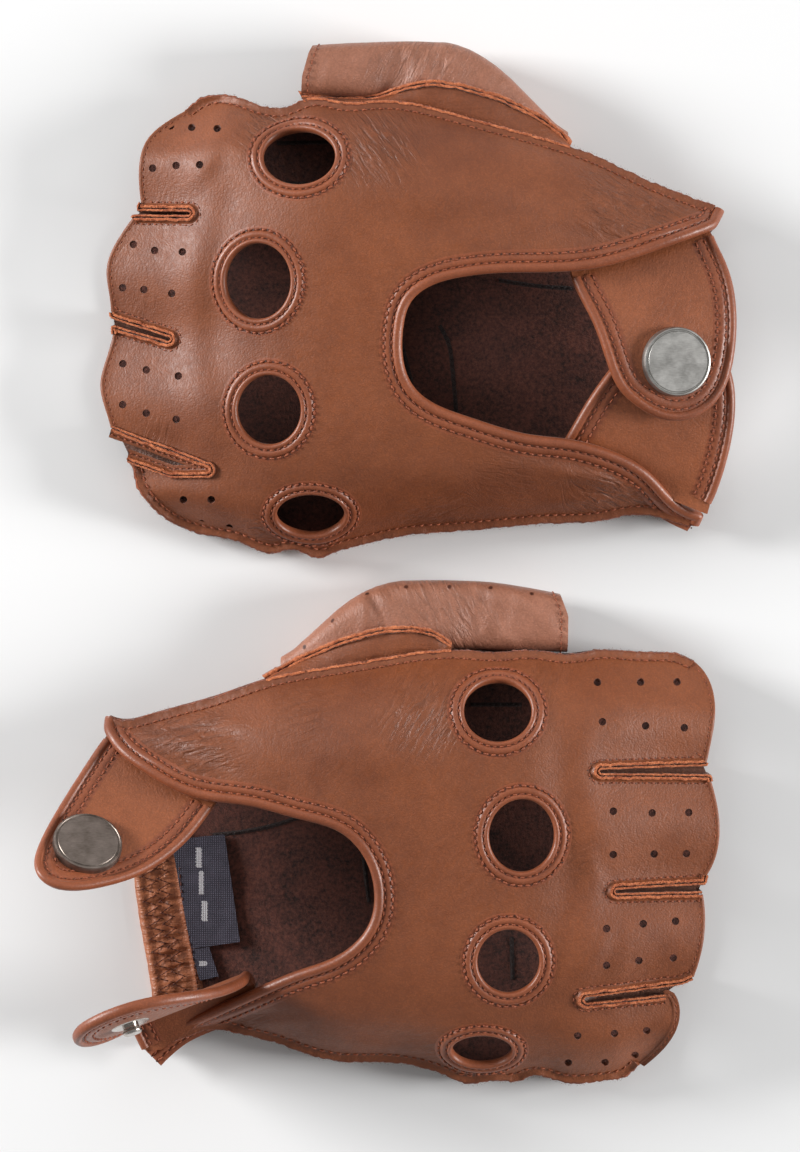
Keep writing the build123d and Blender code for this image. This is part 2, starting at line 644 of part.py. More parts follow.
# ---------------------------------------------------------------- write the pieces
def main():
    for spec in (LEFT, RIGHT):
        pieces, strap, tab = build(spec)
        for name, shape in pieces.items():
            solid = Pos(-PAIR_CENTRE[0], -PAIR_CENTRE[1], 0) * largest(shape)
            export_step(solid, os.path.join(OUT, name + ".step"))
        for label, flap in (("strap", strap), ("under_tab", tab)):
            start = flap.start - Vector(PAIR_CENTRE[0], PAIR_CENTRE[1], 0)
            print(spec["name"], label, "fold line", start, start + flap.along * flap.length)


if __name__ == "__main__":
    main()
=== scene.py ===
import math

import bpy
import numpy as np
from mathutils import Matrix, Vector
from mathutils.bvhtree import BVHTree
from mathutils.geometry import delaunay_2d_cdt


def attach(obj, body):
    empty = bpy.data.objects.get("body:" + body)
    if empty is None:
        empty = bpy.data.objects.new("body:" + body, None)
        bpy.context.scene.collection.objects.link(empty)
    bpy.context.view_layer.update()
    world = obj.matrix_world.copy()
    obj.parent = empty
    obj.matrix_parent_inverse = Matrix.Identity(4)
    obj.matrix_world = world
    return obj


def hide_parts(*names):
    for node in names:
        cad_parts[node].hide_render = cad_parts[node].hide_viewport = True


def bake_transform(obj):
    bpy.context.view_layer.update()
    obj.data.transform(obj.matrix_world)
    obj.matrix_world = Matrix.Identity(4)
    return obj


# A pair of fingerless leather driving gloves, in the CAD frame, in metres.
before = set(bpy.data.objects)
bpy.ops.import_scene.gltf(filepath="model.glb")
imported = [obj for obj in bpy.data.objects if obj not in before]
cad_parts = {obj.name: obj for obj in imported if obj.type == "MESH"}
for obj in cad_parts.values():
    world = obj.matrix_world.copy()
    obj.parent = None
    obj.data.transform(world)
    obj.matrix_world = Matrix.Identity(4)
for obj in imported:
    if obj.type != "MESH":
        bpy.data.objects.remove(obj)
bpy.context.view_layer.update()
rng = np.random.default_rng(11)
MM = 0.001
SHIFT = np.array([0.44, -0.32])     # CAD plan numbers to the centred frame, millimetres
LEATHER = 1.0 * MM                  # thickness of back, palm and thumb
FLAP_LEATHER = 1.6 * MM             # thickness of strap and under-tab
FOLD_DEPTH = 1.5                    # how much deeper the folds are than their table says
UP, DOWN = np.array([0, 0, 1.0]), Vector((0, 0, -1))

# ------------------------------------------------------------------ the two gloves
# Plan points in millimetres, as part.py has them. finger_ends are the corners of each
# finger's open end; tips are the wrist tips of the back, thumb side first. thumb rows are
# x, near y, far y, half height. folds are (line, width, depth); fine creases are (centre,
# reach, direction in degrees, strength). A flap's fold runs between two points in space.
LEFT = {
    "name": "left", "dir": -1, "middle": (-5, 75), "palm_middle": (20, 55), "seed": 5,
    "finger_ends": [((-47, 104.5), (-57, 83)), ((-59, 79.5), (-64, 58)),
                    ((-63.5, 53), (-64, 31)), ((-60.5, 24), (-59, 22))],
    "tips": [(77, 81.5), (71.5, 8.5)],
    "palm_wrist": [(71.5, 71), (71, 17)],
    "holes": [(-20.5, 93), (-30, 64.5), (-27.5, 35), (-18, 11)],
    "thumb": [(-24, 107.5, 119.2, 8.4), (-12, 107.4, 120.1, 8.4), (4, 106.8, 120.7, 8.4),
              (16, 103.6, 120.3, 8.4), (25, 101.4, 115.3, 8.0), (34, 98.9, 106.4, 6.8),
              (41.5, 96.6, 98.8, 5.2)],
    "thumb_end": [(-20.6, 100), (-20, 112), (-18.5, 117.5), (-15, 125)],
    "thumb_window": (5, 27),
    "pricks": [],
    "outseam": [(-20.4, 107.9), (-12, 107.5), (-3, 107.3), (4, 109.5), (10, 110.5),
                (16.5, 109.5), (25.5, 107), (35, 102.6), (40.5, 98.4), (42, 96.4)],
    "seam_lines": [[(2.6, 52.2), (5.3, 41.9)],
                   [(11.8, 55.3), (14.2, 51.2), (14.9, 44.3), (15.8, 34)],
                   [(25.6, 65.7), (34.8, 64.3), (42.9, 63.8)], [(-26, 97.6), (-14, 97.8)],
                   [(-27, 88.3), (-14, 88)]],
    "folds": [
        ([(50, 88), (60, 82), (70, 79)], 2.4, 0.55), ([(42, 84), (55, 79), (66, 77)], 2.2, -0.5),
        ([(38, 78), (50, 75.5), (62, 73.5)], 2.6, 0.4),
        ([(46, 91), (58, 86), (67, 82.5)], 2.0, 0.4),
        ([(30, 17.5), (45, 19), (58, 15.5), (68, 11)], 2.6, 0.7),
        ([(24, 24), (38, 23), (50, 19.5), (62, 13)], 2.4, -0.55),
        ([(34, 12.5), (48, 13.6), (60, 12.8)], 2.0, 0.45),
        ([(-14, 97), (-5, 92), (2, 84)], 3.0, 0.28), ([(-8, 99.5), (2, 93), (8, 85)], 3.2, -0.25),
        ([(0, 10), (12, 13), (22, 17)], 2.8, 0.3), ([(-4, 7.5), (-14, 5.6), (-24, 6.2)], 2.0, 0.3),
        ([(-46, 84.5), (-41, 90), (-38, 97)], 3.4, 0.22),
        ([(-44, 25), (-52, 27.5), (-58, 31)], 2.0, 0.25),
        ([(-40, 98), (-39.5, 82), (-43, 66), (-42.5, 48), (-40, 32)], 6.0, -0.55),
        ([(-8, 84), (6, 80), (20, 82), (34, 80)], 7.0, 0.4),
        ([(-4, 22), (10, 24), (24, 20)], 6.0, -0.35),
    ],
    "fine": [((-2, 95), 13, -52, 1.0), ((-28, 101), 10, -35, 0.8), ((56, 84), 14, -28, 1.5),
             ((56, 14), 15, -18, 1.3), ((-50, 82), 7, 75, 0.4), ((-57, 58), 7, 75, 0.4),
             ((-54, 29), 8, 70, 0.45), ((12, 10), 13, 18, 0.6), ((-30, 5), 8, 5, 0.7),
             ((-62, 74), 9, 60, 0.35), ((28, 20), 12, -8, 0.5)],
    "strap": {"fold": ((42.84, 63.68, 24.6), (77.04, 74.58, 17.0)),
              "root": [(0.6, -3), (3, -8), (28, -7), (34, -4), (34.8, -2)]},
    "under_tab": {"fold": ((73.44, 15.08, 12.2), (40.64, 30.08, 18.6)),
                  "root": [(-2.4, -3.6), (6, -4), (14, -4), (33, -5.5), (35, -2)]},
}

RIGHT = {
    "name": "right", "dir": 1, "middle": (15, -75), "palm_middle": (-10, -75), "seed": 9,
    "finger_ends": [((70.5, -23), (73, -46)), ((74, -50.5), (73, -72)),
                    ((72, -76), (70, -95.5)), ((63.8, -100.3), (58, -116))],
    "tips": [(-65, -35.5), (-56.5, -113)],
    "palm_wrist": [(-61, -47), (-54.5, -104)],
    "holes": [(25, -34), (30.5, -62.5), (27.5, -91.5), (21.5, -112.6)],
    "thumb": [(47, -20.8, -9.0, 8.4), (36, -20.6, -6.4, 8.4), (24, -20.4, -4.4, 8.4),
              (12, -20.0, -4.0, 8.4), (0, -21.6, -4.2, 8.2), (-9, -23.0, -8.2, 7.8),
              (-18, -24.8, -16.4, 6.8), (-25, -26.4, -22.8, 5.2)],
    "thumb_end": [(41.2, -26), (41.4, -12), (39.5, -7), (37, 2)],
    "thumb_window": (-10, 12),
    "pricks": [(-19.5, -19.5), (-13, -13.4), (-5, -7.2), (4, -5.6), (14, -5.6), (23.5, -5.8),
               (33, -7.2)],
    "outseam": [(-28.5, -26.9), (-20.5, -22.4), (-11, -18.3), (-2, -15.7), (6, -15.4),
                (10.5, -16.4), (14.5, -19.2)],
    "seam_lines": [[(19, -33), (31, -33)], [(28.6, -87), (28.8, -97)],
                   [(-41, -63.4), (-34, -62.7), (-27, -61.3), (-20, -59)],
                   [(-6, -66), (-5.4, -73), (-4.6, -79)]],
    "folds": [
        ([(-60, -40.5), (-48, -42), (-34, -46)], 2.6, 0.6),
        ([(-58, -43.5), (-46, -46.5), (-32, -51)], 2.4, -0.5),
        ([(-56, -38), (-42, -37.5), (-28, -40)], 2.2, 0.4),
        ([(8, -32), (14, -40), (17, -47)], 3.2, 0.28),
        ([(2, -29), (9, -37), (12, -45)], 3.0, -0.25),
        ([(-50, -109), (-38, -105.8), (-24, -101)], 2.4, 0.6),
        ([(-44, -109.6), (-32, -107), (-18, -104)], 2.2, -0.45),
        ([(8, -112), (0, -111), (-10, -110)], 2.2, 0.35),
        ([(30, -116.8), (38, -116), (46, -116)], 2.0, 0.3),
        ([(45, -97), (50, -90), (52, -84)], 3.0, 0.3),
        ([(50, -74), (47, -68), (46, -62)], 3.0, 0.22),
        ([(43, -30), (42, -50), (45, -66), (42.5, -84), (40, -98)], 6.0, 0.55),
        ([(-18, -44), (-4, -48), (10, -50)], 7.0, 0.35),
    ],
    "fine": [((8, -35), 12, 58, 1.0), ((-48, -42), 14, 14, 1.5), ((-40, -107), 13, 18, 1.2),
             ((58, -44), 8, 70, 0.35), ((60, -71), 8, 60, 0.4), ((56, -95), 10, 45, 0.45),
             ((36, -26), 10, 80, 0.5), ((12, -115), 10, 5, 0.8), ((44, -68), 8, 30, 0.5),
             ((-20, -34), 10, 18, 0.6)],
    "strap": {"fold": ((-40.76, -57.52, 23.2), (-66.76, -40.72, 15.6)),
              "root": [(0.4, -3), (3, -8), (23, -6), (29, -4), (30.4, -2)]},
    "under_tab": {"fold": ((-58.16, -106.92, 8.8), (-30.56, -95.72, 17.0)), "opened": 78,
                  "stubs": [(0.3, -7.4), (0, -2.2)],
                  "root": [(3, -8), (10, -6.4), (18, -4.6), (28, -5), (29.8, -2)]},
}

# profiles of edges, (distance into the leather, height) in mm; waves are a seed and the
# ripple of each profile point in both directions
ROLL_PROFILE = [
    (0.9, -1.75), (0.3, -1.8), (-0.1, -1.45), (-0.32, -0.9), (-0.3, -0.25), (-0.05, 0.3),
    (0.35, 0.66), (0.85, 0.84), (1.35, 0.78), (1.75, 0.5), (1.98, 0.14), (2.1, -0.12),
    (2.25, -0.02), (2.5, 0.2), (2.9, 0.3), (3.4, 0.26), (3.75, 0.1), (3.95, -0.08),
    (4.2, -0.02), (4.7, 0.05), (5.3, -0.06)]
RING_PROFILE = [
    (0.6, -1.6), (0.15, -1.6), (-0.08, -1.2), (-0.14, -0.6), (-0.1, 0.0), (0.08, 0.36),
    (0.35, 0.55), (0.7, 0.55), (0.98, 0.34), (1.14, 0.06), (1.3, 0.1), (1.55, 0.36),
    (2.0, 0.48), (2.5, 0.38), (2.8, 0.12), (2.98, -0.06), (3.2, 0.0), (3.6, 0.06), (4.2, -0.06)]
FLAP_ROLL = [
    (1.5, -1.72), (0.8, -1.95), (0.15, -1.85), (-0.22, -1.4), (-0.34, -0.8), (-0.24, -0.1),
    (0.05, 0.34), (0.45, 0.6), (0.9, 0.66), (1.3, 0.5), (1.58, 0.18), (1.72, -0.06),
    (1.95, 0.08), (2.3, -0.02), (2.6, 0.2), (3.3, 0.27), (3.9, 0.18), (4.3, -0.04),
    (4.6, 0.04), (5.2, 0.03), (5.8, -0.06)]
HEM = [(0.9, -1.6), (0.1, -1.65), (-0.25, -1.2), (-0.32, -0.6), (-0.2, -0.05), (0.1, 0.16),
       (0.5, 0.12), (0.75, -0.02), (1.0, 0.05), (1.6, -0.05)]
LIP = [(2.3, -0.08), (1.85, 0.02), (1.55, -0.06), (1.25, 0.02), (0.98, 0.26), (0.84, 0.62),
       (0.76, 0.92), (0.58, 1.04), (0.32, 1.04), (0.1, 0.92), (0.0, 0.45), (0.0, -0.2), (0.0, -1.0)]
LIP_MATS = [0] * 6 + [1] * 3 + [2] * 3
LIP_WAVES = 1, [(0, 0)] * 4 + [(0.05, 0.03), (0.09, 0.05), (0.12, 0.1), (0.12, 0.12), (0.12, 0.1),
                               (0.11, 0.1), (0.05, 0.03), (0, 0), (0, 0)]
FOURCHETTE = [(-0.12, -1.0), (-0.14, 0.4), (-0.2, 0.86), (-0.34, 1.0), (-0.54, 0.98),
              (-0.7, 0.8), (-0.76, 0.3), (-0.78, -1.0)]
FOURCHETTE_MATS = [3, 3, 1, 1, 1, 3, 3, 3]
FOURCHETTE_WAVES = 5, [(0, 0)] + [(0.05, 0.09)] * 6 + [(0, 0)]
WEB_SAG = [(0, 1.1), (0.15, 2.2), (0.35, 3.4), (0.5, 3.8), (0.65, 3.4), (0.85, 2.2), (1, 1.1)]
SEAM = [(2.7, -0.08), (2.1, 0.02), (1.75, -0.06), (1.5, 0.06), (1.1, 0.32), (0.7, 0.6),
        (0.4, 0.78), (0.15, 0.8), (-0.15, 0.62), (-0.35, 0.3), (-0.4, -0.1), (-0.3, -0.6),
        (0.0, -1.1)]
SEAM_MATS = [0] * 6 + [2, 1] + [2] * 4
SEAM_WAVES = 3, [(0, 0)] * 4 + [(0.06, 0.05), (0.1, 0.08), (0.14, 0.12), (0.16, 0.13), (0.2, 0.1),
                                (0.2, 0.08), (0.16, 0.04), (0.1, 0), (0, 0)]
INNER_SEAM = [(-0.62, -0.1), (-0.3, 0.16), (-0.08, 0.24), (0.08, 0.24), (0.3, 0.16), (0.62, -0.1)]
WALL_SWELL = [(0, -0.1), (0.15, 0.12), (0.4, 0.34), (0.65, 0.34), (0.88, 0.12), (1, -0.1),
              (1, -0.9), (0.65, -0.6), (0.35, -0.6), (0, -0.9)]
OUTSEAM = [(-0.75, -0.6), (-0.7, 0.35), (-0.55, 0.95), (-0.25, 1.05), (0.0, 0.9), (0.1, 0.35),
           (0.2, 0.9), (0.45, 1.1), (0.8, 1.0), (0.95, 0.4), (1.15, -0.6)]
OUTSEAM_MATS = [2, 2, 1, 1, 2, 2, 1, 1, 1, 0]
RAW_RIM = [(0.85, 0.2), (0.7, 0.8), (0.35, 0.98), (-0.1, 0.9), (-0.4, 0.3), (-0.45, -0.4)]
RAW_RIM_WAVES = 7, [(0.05, 0.05)] + [(0.12, 0.1)] * 4 + [(0.05, 0)]
FACING = [(0.8, -1.5), (-0.1, -1.5), (-0.45, -0.9), (-0.4, -0.1), (0.0, 0.5), (0.5, 0.85),
          (1.0, 0.9), (1.6, 0.75), (2.2, 0.5), (3.0, 0.75), (4.0, 1.05), (5.0, 0.85), (5.8, 0.6),
          (6.6, 0.85), (7.4, 1.0), (8.2, 0.9), (9.0, 0.65), (9.7, 0.9), (10.4, 1.1), (11.0, 0.9),
          (11.4, 0.3), (11.6, -0.1)]
CAP_PROFILE = [     # shares of the cap's radius and height
    (0.02, 0.02), (0.5, 0.015), (0.86, 0.0), (0.885, -0.07), (0.905, -0.07), (0.93, 0.0),
    (0.965, -0.02), (0.99, -0.14), (1.0, -0.34), (1.0, -0.72), (0.96, -1.0)]
# label name, corners, plain bars (x, y, width, height) where the real one has lettering
LABELS = (
    ("right_woven_label", [(-50.6, -64.4), (-38.2, -63.2), (-36.2, -77), (-34.6, -88.2),
                           (-46, -89.8), (-48.6, -76)],
     [(-44.2, -68.5, 1.2, 4.5), (-43.6, -74.5, 1.2, 5.5), (-42.8, -81.0, 1.2, 5.0)]),
    ("right_size_label", [(-46, -90.0), (-41.8, -89.4), (-39.6, -96.2), (-44, -97.2)],
     [(-43.2, -93.2, 1.6, 1.2)]))


# ------------------------------------------------------------------ curves and fields
def plan(points):
    """Plan points in millimetres to metres in the frame."""
    return (np.asarray(points, float) + SHIFT) * MM


def unit(v):
    return v / np.maximum(np.linalg.norm(v, axis=-1, keepdims=True), 1e-12)


def cross2(a, b):
    return a[0] * b[1] - a[1] * b[0]


def turned(xy, angle):
    """Plan coordinates along and across a direction."""
    c, s = math.cos(angle), math.sin(angle)
    return xy @ np.array([[c, -s], [s, c]])


def arc_length(line):
    return np.concatenate([[0], np.cumsum(np.linalg.norm(np.diff(line, axis=0), axis=1))])


def ripple(s, seed, count=5, longest=9 * MM, shortest=1.2 * MM):
    """Smooth irregular wave of about unit size along arc length s."""
    gen = np.random.default_rng(seed)
    total = np.zeros_like(s)
    for i in range(count):
        size = longest * (shortest / longest) ** (i / (count - 1))
        total += np.sin(s * 2 * math.pi / size * gen.uniform(0.8, 1.25) + gen.uniform(0, 7))
    return total / math.sqrt(count)


def resample(points, step, closed=False):
    """Evenly spaced points along a polyline."""
    if closed:
        points = np.vstack([points, points[:1]])
    arc = arc_length(points[:, :3])
    count = max(int(round(arc[-1] / step)), 3)
    s = np.linspace(0, arc[-1], count + 1)[:count if closed else count + 1]
    return np.stack([np.interp(s, arc, column) for column in points.T], 1)


def relax(line, rounds):
    """Round off a line's corners, its ends held."""
    for _ in range(rounds):
        line[1:-1] = line[1:-1] * 0.5 + (line[:-2] + line[2:]) * 0.25
    return line


def smooth_line(points, step=0.8 * MM):
    return relax(resample(points, step), 12)


def tangents(line, closed=False):
    t = np.roll(line, -1, 0) - np.roll(line, 1, 0)
    if not closed:
        t[0], t[-1] = line[1] - line[0], line[-1] - line[-2]
    return unit(t)


def nearest(points, lines):
    """Distance in plan from each point to the nearest of the lines' own points."""
    cloud = np.vstack([resample(line[:, :2], 0.4 * MM) for line in lines])
    best = np.empty(len(points))
    for i in range(0, len(points), 2000):
        d = points[i:i + 2000, None, :2] - cloud[None]
        best[i:i + 2000] = np.sqrt((d ** 2).sum(2).min(1))
    return best


class Field:
    """Height over the plan, read from upward faces and smoothed."""

    def __init__(self, co, tri, step=0.7 * MM, margin=5 * MM):
        tree = BVHTree.FromPolygons(co.tolist(), tri.tolist())
        used = co[np.unique(tri)]
        self.low = used[:, :2].min(0) - margin
        self.step = step
        size = np.ceil((used[:, :2].max(0) + margin - self.low) / step).astype(int) + 1
        grid = np.full(size, np.nan)
        for i, j in np.ndindex(*size):
            hit = tree.ray_cast(Vector((self.low[0] + i * step, self.low[1] + j * step, 1)), DOWN)
            if hit[0] is not None:
                grid[i, j] = hit[0].z
        known = ~np.isnan(grid)
        filled = known.copy()
        while not filled.all():
            padded = np.pad(grid, 1, constant_values=np.nan)
            near = np.stack([padded[a:a + size[0], b:b + size[1]]
                             for a in range(3) for b in range(3)])
            count = (~np.isnan(near)).sum(0)
            fresh = ~filled & (count > 0)
            grid[fresh] = (np.nansum(near, 0) / np.maximum(count, 1))[fresh]
            filled |= fresh
        for _ in range(160):
            p = np.pad(grid, 1, mode="edge")
            mean = (p[2:, 1:-1] + p[:-2, 1:-1] + p[1:-1, 2:] + p[1:-1, :-2]) / 4
            grid = np.where(known, grid, mean)
        self.grid = grid
        self.soften(2)

    def soften(self, rounds):
        for _ in range(rounds):
            p = np.pad(self.grid, 1, mode="edge")
            sides = p[2:, 1:-1] + p[:-2, 1:-1] + p[1:-1, 2:] + p[1:-1, :-2]
            corners = p[2:, 2:] + p[:-2, 2:] + p[2:, :-2] + p[:-2, :-2]
            self.grid = (4 * p[1:-1, 1:-1] + 2 * sides + corners) / 16

    def nodes(self):
        i, j = np.meshgrid(*[np.arange(n) for n in self.grid.shape], indexing="ij")
        return self.low[0] + i * self.step, self.low[1] + j * self.step

    def z(self, x, y):
        u = np.clip((x - self.low[0]) / self.step, 0, self.grid.shape[0] - 1.001)
        v = np.clip((y - self.low[1]) / self.step, 0, self.grid.shape[1] - 1.001)
        i, j = u.astype(int), v.astype(int)
        a, b = u - i, v - j
        g = self.grid
        return (g[i, j] * (1 - a) * (1 - b) + g[i + 1, j] * a * (1 - b)
                + g[i, j + 1] * (1 - a) * b + g[i + 1, j + 1] * a * b)

    def at(self, xy):
        return np.column_stack([xy, self.z(*xy.T)])

    def drape(self, line):
        """Lay a line's points on the field."""
        line[:, 2] = self.z(line[:, 0], line[:, 1])
        return line

    def normal(self, xy):
        d = 0.8 * MM
        x, y = xy[:, 0], xy[:, 1]
        gx = (self.z(x + d, y) - self.z(x - d, y)) / (2 * d)
        gy = (self.z(x, y + d) - self.z(x, y - d)) / (2 * d)
        return unit(np.column_stack([-gx, -gy, np.ones_like(gx)]))

    def fold(self, points, width, depth):
        """Press a soft crease with a raised side along a plan polyline."""
        line = smooth_line(points)
        flat = np.stack(self.nodes(), 2).reshape(-1, 2)
        keep = ((flat > line.min(0) - 4 * width) & (flat < line.max(0) + 4 * width)).all(1)
        near = flat[keep]
        dist = ((near[:, None] - line[None]) ** 2).sum(2)
        k = dist.argmin(1)
        side = cross2(tangents(line)[k].T, (near - line[k]).T)
        fade = np.sin(np.pi * np.clip(k / (len(line) - 1), 0.02, 0.98)) ** 0.7
        wave = np.sin(np.clip(side / width, -1.6, 1.6) * 1.9) * np.exp(-dist.min(1) / width ** 2)
        out = self.grid.ravel()
        out[keep] += depth * fade * wave
        self.grid = out.reshape(self.grid.shape)


# ------------------------------------------------------------------ reading the CAD nodes
def node_mesh(name, matrix=np.eye(4)):
    """Merged vertices and triangles of a CAD node, moved by a 4x4."""
    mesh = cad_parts[name].data
    mesh.calc_loop_triangles()
    co = np.empty(len(mesh.vertices) * 3)
    mesh.vertices.foreach_get("co", co)
    co = co.reshape(-1, 3) @ matrix[:3, :3].T + matrix[:3, 3]
    tri = np.empty(len(mesh.loop_triangles) * 3, np.int32)
    mesh.loop_triangles.foreach_get("vertices", tri)
    first, back = np.unique(np.round(co * 2e5).astype(np.int64), axis=0,
                            return_index=True, return_inverse=True)[1:]
    tri = back.reshape(-1)[tri.reshape(-1, 3)]
    return co[first], tri[(tri != np.roll(tri, 1, 1)).all(1)]


def upward(co, tri, low=0.15):
    n = np.cross(co[tri[:, 1]] - co[tri[:, 0]], co[tri[:, 2]] - co[tri[:, 0]])
    return tri[n[:, 2] > low * np.linalg.norm(n, axis=1)]


def rim_edges(tri):
    """Directed edges that only one triangle has."""
    e = np.vstack([tri[:, [0, 1]], tri[:, [1, 2]], tri[:, [2, 0]]]).astype(np.int64)
    big = int(tri.max()) + 1
    return e[~np.isin(e[:, 0] * big + e[:, 1], e[:, 1] * big + e[:, 0])]


def loops_of(co, tri):
    """Closed boundary loops, the one with the largest extent first."""
    follow = {}
    for a, b in rim_edges(tri).tolist():
        follow.setdefault(a, []).append(b)
    loops = []
    while follow:
        start = here = next(iter(follow))
        chain = [start]
        while follow.get(here):
            step = follow[here].pop()
            if not follow[here]:
                del follow[here]
            if step == start:
                break
            chain.append(step)
            here = step
        if len(chain) > 6:
            loops.append(co[chain])
    return sorted(loops, key=lambda p: -np.ptp(p[:, 0]) * np.ptp(p[:, 1]))


def section(loop, a, b):
    """Shorter part of a closed loop between the points nearest to a and b."""
    i, j = (((loop[:, :2] - p) ** 2).sum(1).argmin() for p in (a, b))
    n = len(loop)
    ways = loop[(i + np.arange((j - i) % n + 1)) % n], loop[(i - np.arange((i - j) % n + 1)) % n]
    return min(ways, key=lambda way: arc_length(way[:, :2])[-1])


def inside(points, loops):
    result = np.zeros(len(points), bool)
    for loop in loops:
        p, q = loop[:, :2], np.roll(loop[:, :2], -1, 0)
        run = np.where(q[:, 1] == p[:, 1], 1e-12, q[:, 1] - p[:, 1])
        for i in range(0, len(points), 4000):
            x, y = points[i:i + 4000, :1], points[i:i + 4000, 1:2]
            at = (q[:, 0] - p[:, 0]) * (y - p[:, 1]) / run + p[:, 0]
            cross = ((p[:, 1] > y) != (q[:, 1] > y)) & (x < at)
            result[i:i + 4000] ^= (cross.sum(1) % 2).astype(bool)
    return result


def side_of(line, probe):
    """+1 if the probe point lies to the left of the line's direction."""
    k = ((line[:, :2] - probe) ** 2).sum(1).argmin()
    return 1 if cross2(tangents(line[:, :2])[k], probe - line[k, :2]) > 0 else -1


# ------------------------------------------------------------------ mesh building
class Build:
    """Collects surfaces, with a material number for each face, into one object.

    wr holds a point's wrinkle coordinates and strength, edge marks a label's bars.
    """

    def __init__(self):
        self.verts, self.faces, self.mats, self.marks, self.edges = [], [], [], [], []
        self.count = 0

    def add(self, verts, *groups, marks=None, edge=None):
        """Points, then (faces, material number or numbers) for each group of faces."""
        for faces, mat in groups:
            self.faces += (np.asarray(faces) + self.count).tolist()
            self.mats += np.broadcast_to(mat, len(faces)).tolist()
        self.verts.append(np.asarray(verts, float))
        self.count += len(verts)
        self.marks.append(np.zeros((len(verts), 3)) if marks is None else marks)
        self.edges.append(np.zeros(len(verts)) if edge is None else edge)

    def make(self, name, materials, move=None, sharp=55):
        verts = np.vstack(self.verts)
        mesh = bpy.data.meshes.new(name)
        mesh.from_pydata((move(verts) if move else verts).tolist(), [], self.faces)
        mesh.polygons.foreach_set("material_index", self.mats)
        wrinkle = mesh.attributes.new("wr", "FLOAT_VECTOR", "POINT")
        wrinkle.data.foreach_set("vector", np.vstack(self.marks).ravel())
        edge = mesh.attributes.new("edge", "FLOAT", "POINT")
        edge.data.foreach_set("value", np.concatenate(self.edges))
        mesh.polygons.foreach_set("use_smooth", [True] * len(mesh.polygons))
        mesh.set_sharp_from_angle(angle=math.radians(sharp))
        for material in materials:
            mesh.materials.append(material)
        mesh.update()
        return place(name, mesh)


def place(name, data):
    obj = bpy.data.objects.new(name, data)
    bpy.context.scene.collection.objects.link(obj)
    return obj


def piece(build, name, materials, body, slot, *replaced, sharp=55):
    """One finished object that rides a body, in the place of CAD nodes; slot is not used."""
    obj = build.make(name, materials, sharp=sharp)
    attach(obj, body)
    if replaced:
        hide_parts(*replaced)


def net(rows, columns, close_rows=False, close_columns=False, first=0):
    """Quads between points that are numbered row by row."""
    i, k = np.meshgrid(np.arange(first, rows if close_rows else rows - 1),
                       np.arange(columns if close_columns else columns - 1), indexing="ij")
    i, k = i.ravel(), k.ravel()
    j, m = (i + 1) % rows * columns, (k + 1) % columns
    i = i * columns
    return np.column_stack([i + k, i + m, j + m, j + k])


def loft(build, lines, mats=0, flip=False, closed=False, ring=False, first=0, wrinkle=None):
    """Skin over lines of points that run side by side; mats may have one number per gap."""
    verts = np.stack(lines, 1).reshape(-1, 3)
    faces = net(len(lines[0]), len(lines), closed, ring, first)
    marks = wrinkle and np.column_stack([verts[:, :2], np.full(len(verts), wrinkle)])
    build.add(verts, (faces[:, ::-1] if flip else faces, np.resize(mats, len(faces))), marks=marks)
    return verts


def triangulate(loops, spacing):
    """Triangles over the plan area between loops, with inner points spacing apart."""
    low, high = loops[0][:, :2].min(0), loops[0][:, :2].max(0)
    pts = []
    for k, y in enumerate(np.arange(low[1], high[1], spacing * 0.866)):
        x = np.arange(low[0] + (k % 2) * spacing / 2, high[0], spacing)
        pts.append(np.column_stack([x, np.full(len(x), y)]))
    pts = np.vstack(pts)
    pts = pts[inside(pts, loops)]
    pts = pts[nearest(pts, [np.vstack([loop, loop[:1]]) for loop in loops]) > spacing * 0.55]
    edges, base = [], 0
    for loop in loops:
        edges += [(base + k, base + (k + 1) % len(loop)) for k in range(len(loop))]
        base += len(loop)
    points = np.vstack([loop[:, :2] for loop in loops] + [pts])
    out = delaunay_2d_cdt([Vector(p) for p in points.tolist()], edges, [], 0, 1e-7)
    xy = np.array([(v.x, v.y) for v in out[0]])
    tri = np.array([f for f in out[2] if len(f) == 3], np.int32)
    tri = tri[inside(xy[tri].mean(1), loops)]
    p, q, r = xy[tri[:, 0]], xy[tri[:, 1]], xy[tri[:, 2]]
    area = cross2((q - p).T, (r - p).T)
    tri[area < 0] = tri[area < 0][:, ::-1]
    return xy, tri[np.abs(area) > 1e-13]


def slab(build, tri, top, low, mats=(0, 0, 0), marks=None, edge=None):
    """Both faces of a sheet and the wall round its rims."""
    n, rim = len(top), rim_edges(tri)
    walls = np.column_stack([rim[:, ::-1], rim + n])
    build.add(np.vstack([top, low]), (tri, mats[0]), (tri[:, ::-1] + n, mats[1]), (walls, mats[2]),
              marks=marks, edge=edge)


def sheet(build, loops, field, thick, spacing, marks, mats=(0, 1, 2)):
    """Leather over the area between loops: top on the field, thick metres deep."""
    xy, tri = triangulate(loops, spacing)
    top = field.at(xy)
    slab(build, tri, top, top - field.normal(xy) * thick, mats, np.tile(marks(xy), (2, 1)))


def offset_points(line, field, away, d, h, closed=False):
    """Points at distance d into the leather and h above it, along a line on its edge.

    away is +1 if the leather lies to the left of the line's direction, -1 if to the right.
    """
    inward = unit(np.cross(field.normal(line[:, :2]), tangents(line, closed))) * away
    p = line + inward * np.reshape(d, (-1, 1))
    p[:, 2] = np.where(np.reshape(d, -1) > 0, field.z(p[:, 0], p[:, 1]), p[:, 2])
    return p + field.normal(p[:, :2]) * np.reshape(h, (-1, 1))


def outward(line, field, away):
    """Directions out of the leather's edge, and up from it."""
    up = field.normal(line[:, :2])
    return -unit(np.cross(up, tangents(line))) * away, up


